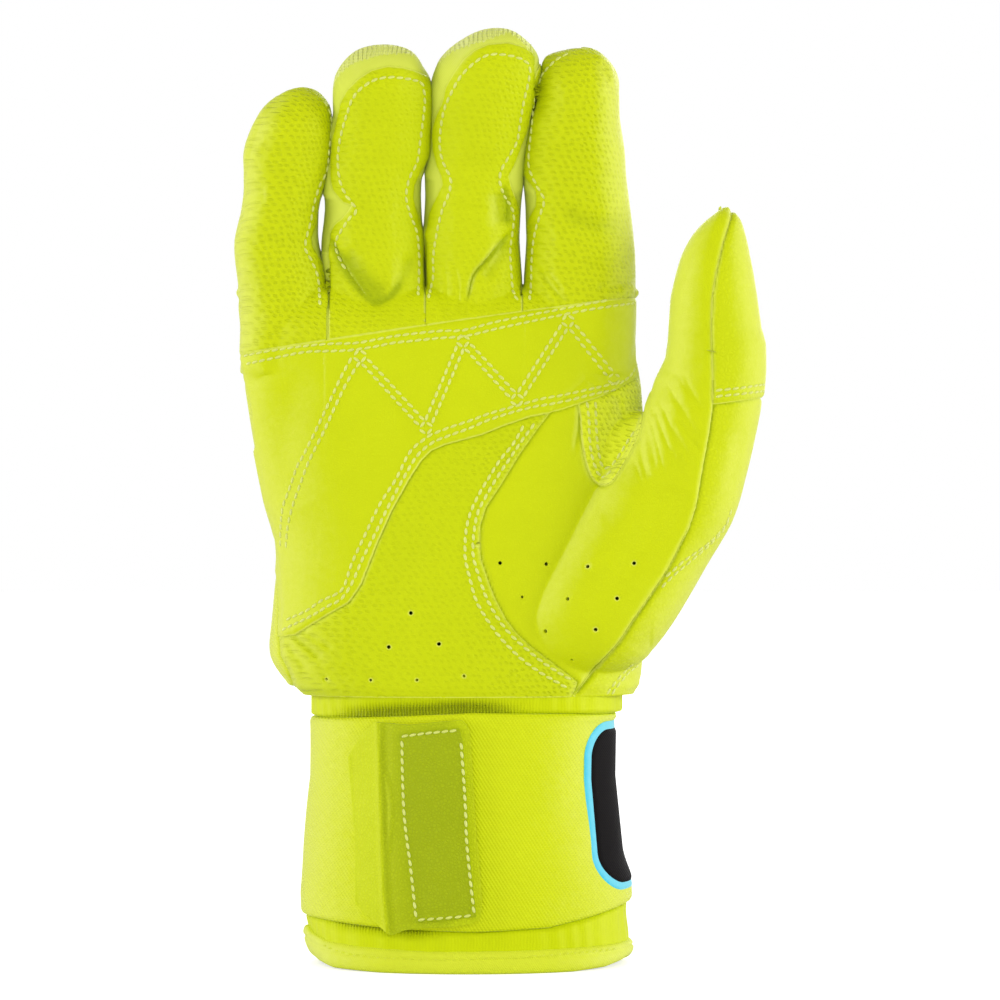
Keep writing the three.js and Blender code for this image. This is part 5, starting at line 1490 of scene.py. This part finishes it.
# Rows of stitches: the panel they are sewn through, and their line in the picture (pixels)
zigzag = [(360, 356), (426, 428), (463, 341), (517, 400), (568, 321), (614, 379)]
seam_rows = [
    ("palm_overlay", [(244, 356), (264, 352), (297, 347), (327, 344), (356, 343), (384, 338), (403, 335),
                      (440, 331), (464, 330), (500, 321), (557, 310), (593, 303), (634, 296)]),
    ("palm_overlay", [(246, 364), (279, 357), (306, 352), (334, 351), (352, 350), (373, 347), (393, 343),
                      (412, 341), (440, 338), (466, 336), (500, 328), (557, 316), (593, 309), (636, 303)]),
    ("palm_overlay", [(352, 357), (342, 375), (334, 392), (325, 411), (316, 430), (303, 456), (297, 467),
                      (289, 490), (283, 507), (281, 526), (280.5, 547)]),
    ("palm_overlay", [(361, 361), (355, 369), (345, 386), (334, 409), (324, 431), (309, 461), (300, 485),
                      (293, 505), (288, 526), (286, 549)]),
    ("palm_overlay", [(617, 383), (591, 389), (563, 395), (541, 399), (519, 405), (488, 414), (472, 420),
                      (448, 428), (433, 434), (426, 438), (410, 452), (396, 479), (380, 504), (365, 535),
                      (352, 563), (345, 584), (338, 593), (321, 601), (306, 611), (286, 620)]),
    ("palm_overlay", [(618, 389), (594, 394), (570, 400), (551, 404), (533, 407), (510, 413), (486, 421),
                      (470, 428), (448, 436), (432, 443), (417, 456), (403, 479), (388, 507), (376, 532),
                      (362, 560), (352, 583), (341, 599), (328, 606), (313, 615), (297, 623), (282, 630)]),
    ("palm_overlay", [(619, 384), (630, 376), (637, 364)]),
    ("palm_overlay", [(621, 389), (634, 381), (641, 370)]),
    ("palm_leather", [(524, 425), (513, 444), (500, 460), (488, 479), (478, 496), (470, 514), (466, 531),
                      (465, 547), (465.5, 560), (470, 579), (476, 600), (486, 618), (499, 636), (512, 650),
                      (524, 661), (541, 673), (555, 681), (567, 688)]),
    ("palm_leather", [(535, 423), (523, 439), (510, 458), (496, 479), (485, 498), (478, 512), (474, 531),
                      (473, 549), (474, 560), (481, 583), (488, 601), (499, 620), (511, 635), (524, 647),
                      (541, 661), (556, 671), (571, 680)]),
    ("crotch_gusset", [(587, 401), (589, 421), (589.5, 438), (592, 456), (598, 473), (604, 477), (612, 470)]),
    ("crotch_gusset", [(595.6, 401), (596, 421), (597, 440), (599, 454), (603, 467), (611, 466), (620, 454),
                       (628, 441), (635, 431)]),
    ("thumb_cap", [(715, 390.6), (740, 388), (764, 384.5)]),
    ("thumb_cap", [(715, 396.6), (740, 394), (764, 391)]),
    ("thumb_back", [(731.6, 508), (726, 523), (717.5, 534), (709, 542.5), (698, 551), (685, 560), (670, 573),
                    (665, 577)]),
    ("thumb_back", [(729, 519), (721.8, 531.5), (711, 543), (700, 553), (687, 564), (674, 575), (661, 588)]),
    ("thumb_back", [(638, 665), (628, 673), (618, 685), (609, 698)]),
    ("thumb_back", [(634, 663), (624, 672), (613, 685), (604, 698)]),
    ("little_front", [(323, 101), (328, 108), (331, 119), (331, 131), (329, 150), (326.5, 171), (319, 187),
                      (313.4, 206), (310.4, 222), (306.8, 235.5), (305.3, 248.7), (311.5, 261), (317.8, 278),
                      (320, 306)]),
    ("ring_front", [(345.6, 270), (338.3, 256), (336, 246), (337.6, 237), (348.6, 219.5), (355.9, 211), (351.5, 202),
                    (345.6, 194.5), (339.8, 180), (338, 162), (339, 146), (342.7, 128.4), (348.6, 109.3),
                    (351, 102), (356.8, 92.7), (364.4, 86), (374, 80.3), (387.4, 77.4), (400.8, 78),
                    (414.2, 80.3), (421.8, 84), (424.5, 97), (423.7, 112), (419.9, 142.4), (417, 161.6),
                    (409, 179), (406, 197), (410, 214), (417, 234), (419, 262), (418, 296)]),
    ("middle_front", [(428, 299), (433.3, 277), (433.3, 258), (436, 238), (439.8, 219.6), (443.5, 206.6),
                      (449, 193), (450.5, 179), (443, 161.6), (440, 146.3), (441, 127), (444.8, 108),
                      (452.4, 90.8), (460, 77.4), (469.7, 66.9), (481, 58.3), (492.6, 54.4), (507.9, 55.4),
                      (521.3, 59.2), (529, 65.9), (529, 78), (523.2, 104), (519.4, 127), (516.5, 142.4),
                      (508, 157.7), (501, 171), (500, 183), (505, 197.4), (511, 206.6), (513.7, 217.7),
                      (511.9, 234.4), (510, 251), (511, 271), (512.8, 290), (518, 301)]),
    ("index_front", [(569, 53.5), (557.7, 59), (550, 66), (542.4, 75), (537.6, 86), (533.7, 100.4),
                     (532.8, 115.7), (531, 134.8), (529, 154), (529.5, 169), (537, 186), (544, 200),
                     (540.5, 214), (536, 229), (533, 245.5), (531.7, 264), (531.3, 282.5), (529.4, 301)]),
    ("tab_patch", [(401, 736.5), (430, 733), (457, 730.5)]),
    ("tab_patch", [(461, 742), (465, 801), (467, 847), (474, 914)]),
    ("tab_patch", [(472, 915.5), (446, 918), (417, 920)]),
    ("tab_patch", [(402, 740), (402.5, 773), (404.5, 819), (410.5, 867), (416, 918)]),
    ("hem_binding", [(322, 944.5), (338, 951), (364, 956.4), (419.5, 959.2), (499, 958.3), (542.6, 955.7),
                     (580, 952.6), (616, 949)]),
]
# Two rows along each leg of the zigzag and a ring round each of its corners, in pixels
RING_PX, LEG_END_PX, LEG_ASIDE_PX = 5, 6, 3.6
for first, last in zip(np.array(zigzag[:-1], float), np.array(zigzag[1:], float)):
    run = LEG_END_PX * ((last - first) / np.linalg.norm(last - first))
    for aside in (-LEG_ASIDE_PX, LEG_ASIDE_PX):
        seam_rows.append(("palm_overlay", beside([first + run, last - run], aside)))
for x, y in zigzag:
    ring = [(x + RING_PX * math.cos(t), y + RING_PX * math.sin(t)) for t in np.linspace(0, 2 * math.pi, 9)]
    seam_rows.append(("palm_overlay", ring))


# The same on the back, with points across and up in millimetres
back_rows = [
    ("flex_band", tuple(knuckle_row(1.4, -60, 42))),
    ("flex_band", tuple(knuckle_row(15.6, -60, 40))),
    ("back_of_hand", tuple(knuckle_row(18.6, -58, 38))),
    ("back_of_hand", tuple(knuckle_row(20.6, -58, 38))),
    ("back_of_hand", ((24.4, 72), (31, 97), (38, 124), (40, 131))),
    ("back_of_hand", ((22.3, 72), (28.9, 97), (36, 124), (38, 131))),
    ("thumb_back", ((28, 73), (34.6, 98), (41.6, 125), (46, 140))),
    ("thumb_cap", ((48, 147.5), (56, 146), (66, 144.3), (74, 143))),
]
for line in (tendons[0], tendons[3]):
    for aside in (-1.7, 1.7):
        back_rows.append(("back_of_hand", tuple((x + aside, z) for x, z in line)))


# Sizes of the stitches in millimetres, and how much thinner the hem's thread is
STITCH_PITCH, STITCH_LENGTH, STITCH_WIDTH, STITCH_HEIGHT = 2.15, 1.75, 0.72, 0.62
HEM_THREAD, STITCH_LEAN, STITCH_LIFT = 0.62, 0.16, 0.05
# A row ends where the line of sight steps further than this, and a shorter row gets no stitches
LONGEST_STEP, FEWEST_SPOTS = 3, 6
BEHIND = 150


def sew(panels):
    """Lays the stitches on the panels, each row found on its panel along the line of sight."""
    shapes, trees = {}, {}
    for host, points in seam_rows + back_rows:
        if host not in trees:
            piece = panels[host].data
            corners = [polygon.vertices[:] for polygon in piece.polygons]
            trees[host] = BVHTree.FromPolygons([vert.co for vert in piece.vertices], corners)
            shapes[host] = bmesh.new()
        runs = [([], [])]
        behind = isinstance(points, tuple)
        for x, y in smooth_line(points, 0.5 if behind else 1.5):
            start, ray = (Vector((x, BEHIND, y)), Vector((0, -1, 0))) if behind else (EYE, sight(x, y))
            hit, normal, _, _ = trees[host].ray_cast(start, ray)
            if hit is not None and normal.dot(ray) < -0.05:
                if runs[-1][0] and (hit - runs[-1][0][-1]).length > LONGEST_STEP:
                    runs.append(([], []))
                runs[-1][0].append(hit)
                runs[-1][1].append(normal)
        for spots, ways in runs:
            if len(spots) > FEWEST_SPOTS:
                lay_stitches(shapes[host], spots, ways, HEM_THREAD if host == "hem_binding" else 1.0)
    made = {}
    for host, shape in shapes.items():
        smooth_faces(shape)
        made[host] = as_object("stitches_" + host, shape)
    return made


def lay_stitches(shape, spots, ways, bulk):
    """Puts a stitch every few millimetres along a row of points."""
    path = np.array([spot[:] for spot in spots])
    run = np.concatenate([[0], np.cumsum(np.linalg.norm(np.diff(path, axis=0), axis=1))])
    facing = np.array([way[:] for way in ways])
    count = max(1, int(round(run[-1] / STITCH_PITCH)))
    read = lambda rows, at: np.array([np.interp(at, run, rows[:, k]) for k in range(3)])
    for middle in (np.arange(count) + 0.5) * run[-1] / count:
        along_it = Vector(read(path, middle + 0.9) - read(path, middle - 0.9)).normalized()
        up = Vector(read(facing, middle)).normalized()
        across = up.cross(along_it).normalized()
        along_it = (along_it + across * STITCH_LEAN).normalized()
        across = up.cross(along_it).normalized()
        turn = Matrix((along_it, across, up)).transposed().to_4x4()
        size = Matrix.Diagonal((STITCH_LENGTH / 2, STITCH_WIDTH / 2 * bulk, STITCH_HEIGHT / 2 * bulk, 1))
        place = Matrix.Translation(Vector(read(path, middle)) + up * STITCH_LIFT)
        bmesh.ops.create_uvsphere(shape, u_segments=6, v_segments=5, radius=1,
                                  matrix=place @ turn @ size @ Matrix.Rotation(math.pi / 2, 4, "Y"))


skin = make_skin()
sculpt()
panels = split_skin()
# The leather's thickness and how far the lapped panels stand out, in millimetres
WALL = 1.2
RAISE = {"palm_overlay": 0.9, "thumb_front": 0.35, "crotch_gusset": 0.55, "palm_leather": 0.45, "thumb_cap": 0.5}
for name in NAMES:
    RAISE[name + "_front"] = 0.5
bpy.data.meshes.remove(skin)
hosts = {
    "palm_leather": ("hand", textured, ["palm_leather"], "textured_leather"),
    "palm_overlay": (over_knuckles, leather, ["palm_overlay"], "smooth_leather"),
    "crotch_gusset": ("hand", crotch_painted_light, ["crotch_gusset"], "textured_leather"),
    "thumb_front": (over_thumb, leather, ["thumb_palm_panel", "thumb_tip_front"], "smooth_leather"),
    "thumb_back": (over_thumb, back_skin, ["thumb_back_panel"], "back_leather"),
    "thumb_cap": ("thumb_tip", back_skin, ["thumb_back_cap"], "back_leather"),
    "side_gore": (over_knuckles, stretch, ["side_gore"], "stretch_fabric"),
    "flex_band": (over_knuckles, stretch, ["knuckle_flex_band"], "stretch_fabric"),
    "back_of_hand": ("hand", back_skin, ["back_of_hand"], "back_leather"),
}
for number, name in enumerate(NAMES):
    carrier = finger_bend(number)
    hosts[name + "_front"] = (carrier, finger_leather, [name + "_tip_front"], "smooth_leather")
    hosts[name + "_fourchette"] = (carrier, lycra, [name + "_tip_fourchette"], "stretch_fabric")
    hosts[name + "_back"] = (carrier, ribbed_tip, [name + "_tip_back", name + "_back_lower"], "back_leather")
hosts["middle_front"][2].append("finger_web_front")
hosts["ring_fourchette"][2].extend(["fourchette_ring_little", "fourchette_middle_ring"])
hosts["middle_fourchette"][2].append("fourchette_index_middle")
bpy.data.objects.remove(panels.pop("tuck"), do_unlink=True)
for name, piece in panels.items():
    lift = RAISE.get(name, 0)
    co = coords(piece.data)
    if name[:-6] in NAMES:
        at = Fields(co)
        for gap in range(3):
            shared = np.abs(at.gap(gap)) < 0.05
            if shared.any():
                co[shared, 0] += 0.06 * np.sign(co[shared, 0].mean() - co[:, 0].mean())
        set_coords(piece.data, co)
    # Lapped panels get a paler rim along their cut edges and round their air holes: edge wear with a painted highlight
    margin = edge_margin(piece.data, co) if lift else np.full(len(co), FULL_MARGIN)
    if name == "thumb_front":
        margin = np.where(picture(co)[:, 0] < LAP_TURN_PX, FULL_MARGIN, margin)
    field_of(piece.data, "margin", margin)
    if lift:
        rise = lift * (0.55 + 0.45 * smooth_step(margin, 0, 0.9))
        set_coords(piece.data, co + normals(piece.data) * rise[:, None])
    wall(piece, WALL + lift)

# How far a fingertip's lining lies under the skin and from the slits, and its own thickness, in millimetres
LINING_INSET, LINING_CLEAR, LINING_WALL = 2.6, 2.0, 0.5


def finger_lining(number):
    """The inside of a fingertip, open at the bottom."""
    rows = finger_tables[number].copy()
    rows[:, 9:] = np.maximum(rows[:, 9:] - LINING_INSET, 0)
    rows[-1, 2] -= 3.0
    form = limb(rows, 40, 80)
    drop_faces(form, face_middles(form)[:, 2] < FINGER_BASE + BENDS[number] * LENGTHS[number] + 8)
    smooth_faces(form)
    lining = as_object(NAMES[number] + "_lining", form)
    co = coords(lining.data)
    height = uncurl(co)[0]
    for gap, side in ((number - 1, -1), (number, 1)):
        if 0 <= gap < 3:
            co[:, 0] = side * np.minimum(side * co[:, 0], side * gap_middle(gap, height) - LINING_CLEAR)
    set_coords(lining.data, co)
    return wall(lining, LINING_WALL)


for number, name in enumerate(NAMES):
    panels[name + "_lining"] = finger_lining(number)
    hosts[name + "_lining"] = (name + "_tip", lycra, [], "stretch_fabric")


def hem_edges(turn):
    """Bottom and top of the binding: taller at its left end, lifted a little at both sides."""
    x = np.cos(turn) * CUFF_WIDTH / 2
    front = smooth_step(-np.sin(turn), -0.3, 0.2)
    high = np.interp(x, [-40.5, -39.3, -37.5, -33.5, -26, -8, 20, 40], [12.2, 10.6, 8.6, 7.2, 6.5, 5.7, 6.0, 6.3])
    low = np.interp(x, [-41, -39.5, -37, -32, -20, 25, 33, 37, 39.5, 41],
                    [3.4, 2.5, 1.3, 0.4, 0.0, 0.0, 0.5, 1.5, 2.6, 3.3]) * front
    return low, 6.2 + (high - 6.2) * front


def cuff_lean(z):
    """The cuff's lower end leans a little to the right."""
    return 1.0 * (1 - smooth_step(z, 6, 14))


def pulled_in(turn, z):
    """How far the strap is pulled in at its right side."""
    return smooth_step(np.cos(turn), 0.5, 0.95) * (0.9 - 2.2 * smooth_step(z, 19, 30)) * (1 - smooth_step(z, 61, 64))


def sleeve_place(turn, out, share):
    """The knit lies flat under the strap and fills out above and below it."""
    z = np.maximum(1.0 + 74 * share, hem_edges(turn)[0] + 1.0)
    bottom, top = strap_edges(turn)
    x = np.cos(turn) * CUFF_WIDTH / 2
    front = np.clip(-np.sin(turn) * 3, 0, 1)
    above = smooth_step(z - top, -0.3, 1.0) * (1 - smooth_step(z, 69.0, 72.0))
    below = smooth_step(bottom - z, -0.3, 1.0) * (1 - 0.35 * smooth_step(-np.cos(turn), 0.8, 0.99))
    recess_above = 2.6 * front * np.exp(-((x + 9) / 23) ** 4) * np.exp(-((z - top - 1.0) / 2.4) ** 2)
    recess_below = 1.8 * front * np.exp(-((x + 20) / 14) ** 4) * np.exp(-((bottom - z - 0.6) / 1.4) ** 2)
    puckers = 0.1 * np.sin(turn * 41 + 2 * np.sin(turn * 7)) * (above + below)
    right = 1.4 * smooth_step(np.cos(turn), 0.4, 0.95)
    fill = above * (2.1 + right - recess_above) + below * (2.2 - recess_below) + puckers
    spots = cuff_point(turn, z, np.where(out < -1, out, out + fill))
    spots[:, 0] += cuff_lean(z)
    return spots


def strap_place(turn, out, share):
    """The elastic strap waves a little."""
    bottom, top = strap_edges(turn)
    z = bottom + (top - bottom) * share
    spots = cuff_point(turn, z, out + 0.12 * np.sin(turn * 3 + z / 9) + 0.08 * np.sin(turn * 7 - z / 5))
    spots[:, 0] += pulled_in(turn, z)
    return spots


def hem_place(turn, out, share):
    """The binding has a seam below its top edge, and its left end is drawn in."""
    low, top = hem_edges(turn)
    seam = np.exp(-((share - 0.66) / 0.05) ** 2) * (out > 1.5)
    z = low + (top - low) * share
    left = smooth_step(-np.cos(turn), 0.8, 0.99) * (0.3 + 1.6 * np.clip(1 - z / 8, 0, 1))
    spots = cuff_point(turn, z, out - 0.45 * seam - left * (out > 0))
    spots[:, 0] += cuff_lean(z)
    return spots


sleeve = band("cuff_sleeve", np.array([(0, k / 110) for k in range(111)] + [(-2, 1 - k / 12) for k in range(13)]),
              420, sleeve_place)
knit_co = coords(sleeve.data)
around = np.arctan2(knit_co[:, 1], knit_co[:, 0])
knit_low, knit_top = strap_edges(around)
knit_x = knit_co[:, 0]
# Painted shadow at the front under the strap's top edge and over its bottom edge; the same mask sets how strongly the
# knit's ribs show
field_of(sleeve.data, "hollow", (knit_co[:, 1] < 0) * (
    np.exp(-((knit_x + 9) / 22) ** 4) * np.exp(-((knit_co[:, 2] - knit_top - 0.6) / 2.6) ** 2)
    + 0.8 * np.exp(-((knit_x + 20) / 13) ** 4) * np.exp(-((knit_low - knit_co[:, 2] - 0.4) / 1.3) ** 2)))
strap = band("wrist_strap", np.array([(0.6, 0.0), (1.6, -0.004), (2.2, 0.004), (2.5, 0.018)]
                                     + [(2.5, k / 60) for k in range(2, 59)]
                                     + [(2.5, 0.982), (2.2, 0.996), (1.6, 1.004), (0.6, 1.0)]
                                     + [(0.3, 1 - k / 12) for k in range(13)]), 300, strap_place)
hem_turns = np.linspace(0, 2 * math.pi, 49)[:-1]
hem_profile = [(1.4 + 2.2 * np.sign(math.cos(t)) * abs(math.cos(t)) ** 0.7, 0.5 + 0.5 * math.sin(t)) for t in hem_turns]
hem = band("hem_binding", np.array(hem_profile), 300, hem_place)
tab_outline = [(374, 722), (364, 733), (354, 746), (348, 757), (351, 794), (355, 843), (355, 904), (371, 918),
               (386, 933), (392, 935.5), (402, 931), (416, 928.7), (453, 927), (471, 924), (479.5, 920), (482, 905),
               (478.7, 856), (475, 819), (472, 764), (469.5, 731), (466, 724), (462, 720), (440, 722), (408, 725)]


def right_of_fold(spots):
    """How many pixels picture spots lie to the right of the tab's fold."""
    return spots[:, 0] - np.interp(spots[:, 1], [727, 801, 893, 929], [377, 379, 382.5, 386])


def tab_out(x, z):
    """How far the tab stands off the cuff: its left flap slopes down to the strap, with folds beside it."""
    spots = picture(np.column_stack([x, np.full(len(x), -30.0), z]))
    across = right_of_fold(spots)
    flap = 2.2 * np.clip(-across / 27, 0, 1)
    ridge = 0.7 * np.exp(-(across / 2.6) ** 2)
    crease = line_distance(spots, smooth_line([(386, 780), (390, 801), (390, 825), (388, 850)], 5), 14)[0]
    soft = 0.35 * np.exp(-(crease / 2.4) ** 2) - 0.25 * np.exp(-((across - 8) / 5) ** 2)
    return 4.9 - flap + ridge + soft


tab = flat_piece("tab_leather", tab_outline, lambda x, z: front_of_cuff(x, z, tab_out(x, z)), 1.3, 1.8)
tab_spots = picture(coords(tab.data))
tab_across = right_of_fold(tab_spots)
# Painted shade right of the tab's fold and along the fold, weaker towards the tab's right side
field_of(tab.data, "hollow",
         0.62 * smooth_step(tab_across, -1, 4) * (1 - 0.4 * smooth_step(tab_spots[:, 0], 440, 466))
         + 0.4 * np.exp(-((tab_across + 1.5) / 1.8) ** 2))
patch_outline = [(399, 734), (430, 730.5), (459, 728), (463, 742), (467, 801), (469, 847), (476.5, 917), (446, 920.5),
                 (415, 922.5), (408, 867), (402, 819), (400, 773)]
patch = flat_piece("tab_patch", patch_outline, lambda x, z: front_of_cuff(x, z, 5.45), 0.6, 1.8)
hook_outline = [(398, 745), (462, 740), (468, 900), (408, 905)]
hook = flat_piece("hook_patch", hook_outline, lambda x, z: front_of_cuff(x, z, 3.4), 0.6)
loop = flat_piece("loop_patch", hook_outline, lambda x, z: front_of_cuff(x, z, 2.8), 0.5)

BADGE_HEIGHT, BADGE_RADIUS = 40.6, 27.0


def badge_piece(name, half_width, half_height, corner, out, thickness):
    """A rounded patch wrapped round the right side of the strap."""
    shape = bmesh.new()
    bmesh.ops.create_grid(shape, x_segments=90, y_segments=100, size=0.5)
    flat = vert_spots(shape) * [half_width * 2 + 1, half_height * 2 + 1, 0]
    move_verts(shape, flat[:, [0, 2, 1]])

    def edge(co):
        reach = np.abs(co[:, [0, 2]]) - [half_width - corner, half_height - corner]
        return corner - np.linalg.norm(np.maximum(reach, 0), axis=1)

    cut(shape, edge)
    drop_faces(shape, edge(face_middles(shape)) < 0)
    bmesh.ops.recalc_face_normals(shape, faces=shape.faces)
    smooth_faces(shape)
    flat = vert_spots(shape)
    proud = out + thickness * (smooth_step(edge(flat), 0, 1.2) ** 0.5 - 1) * 0.5
    turn, height = flat[:, 0] / BADGE_RADIUS, BADGE_HEIGHT + flat[:, 2]
    spots = cuff_point(turn, height, proud)
    spots[:, 0] += pulled_in(turn, height)
    move_verts(shape, spots)
    if sum(face.normal.x for face in shape.faces) < 0:
        bmesh.ops.reverse_faces(shape, faces=shape.faces)
    return wall(as_object(name, shape), thickness)


rim = badge_piece("badge_rim", 18.0, 21.3, 9.0, 2.9, 0.8)
face = badge_piece("badge_face", 16.0, 19.3, 7.0, 3.3, 0.8)

small_parts = {
    "cuff_sleeve": (sleeve, "hand", knit, "ribbed_knit"),
    "wrist_strap": (strap, "hand", stretch, "stretch_fabric"),
    "hem_binding": (hem, "hand", tape, "hem_tape"),
    "tab_leather": (tab, "strap_tab", tab_skin, "tab_leather"),
    "tab_patch": (patch, "strap_tab", tab_dark, "tab_leather"),
    "hook_patch": (hook, "strap_tab", hooks, "hook_and_loop"),
    "loop_patch": (loop, "hand", hooks, "hook_and_loop"),
    "badge_rim": (rim, "hand", cyan, "patch_rim"),
    "badge_face": (face, "hand", black, "patch_face"),
}
for name, (piece, carrier, material, slot) in small_parts.items():
    panels[name] = piece
    hosts[name] = (carrier, material, [name], slot)
stitched = sew(panels)
for name, piece in panels.items():
    place_piece(piece, *hosts[name])
for name, piece in stitched.items():
    place_piece(piece, hosts[name][0], tape if name == "hem_binding" else thread, (), hosts[name][3])

# Studio
shape = bmesh.new()
bmesh.ops.create_grid(shape, x_segments=2, y_segments=2, size=4)
floor = as_object("floor", shape)
floor_paint = bpy.data.materials.new("floor_paint")
floor_paint.use_nodes = True
tree = floor_paint.node_tree
shader = tree.nodes["Principled BSDF"]
shader.inputs["Base Color"].default_value = (0.9, 0.9, 0.9, 1)
# The camera sees the floor as bright as the backdrop; the soft shadow stays on it
seen = add(tree, "LightPath").outputs["Is Camera Ray"]
shader.inputs["Emission Color"].default_value = (1, 1, 1, 1)
tree.links.new(times(tree, seen, 0.62), shader.inputs["Emission Strength"])
mottle = noise(tree, add(tree, "TexCoord").outputs["Object"], 9.0, 3.0)
tree.links.new(ramp(tree, mottle, 0.2, 0.8, 0.84, 0.96), shader.inputs["Roughness"])
floor.data.materials.append(floor_paint)


AIM = Vector((0, 0, 0.12))


def lamp(name, spot, size, power):
    """A square soft lamp that shines at the middle of the glove."""
    data = bpy.data.lights.new(name, "AREA")
    data.energy, data.size = power, size
    made = new_object(name, data)
    made.location = spot
    made.rotation_euler = (AIM - Vector(spot)).to_track_quat("-Z", "Y").to_euler()
    return made


lamp("key", (-1.7, -0.5, 0.5), 0.9, 13)
lamp("fill", (1.65, -0.55, 0.4), 0.9, 14)
lamp("front", (0.1, -1.8, 0.3), 0.9, 11.5).visible_glossy = False
lamp("back", (0.3, 1.6, 0.7), 1.2, 12)
world = bpy.data.worlds.new("studio")
scene.world = world
world.use_nodes = True
tree = world.node_tree
background = tree.nodes["Background"]
background.inputs["Color"].default_value = (1, 1, 1, 1)
# The camera, reflections and see-through parts show the white backdrop; the light on the object stays softer
path = add(tree, "LightPath").outputs
shown = math_node(tree, "MAXIMUM", path["Is Camera Ray"],
                  math_node(tree, "MAXIMUM", path["Is Glossy Ray"], path["Is Transmission Ray"]))
tree.links.new(ramp(tree, shown, 0.0, 1.0, 0.46, 1.0), background.inputs["Strength"])
scene.view_settings.view_transform = "Standard"
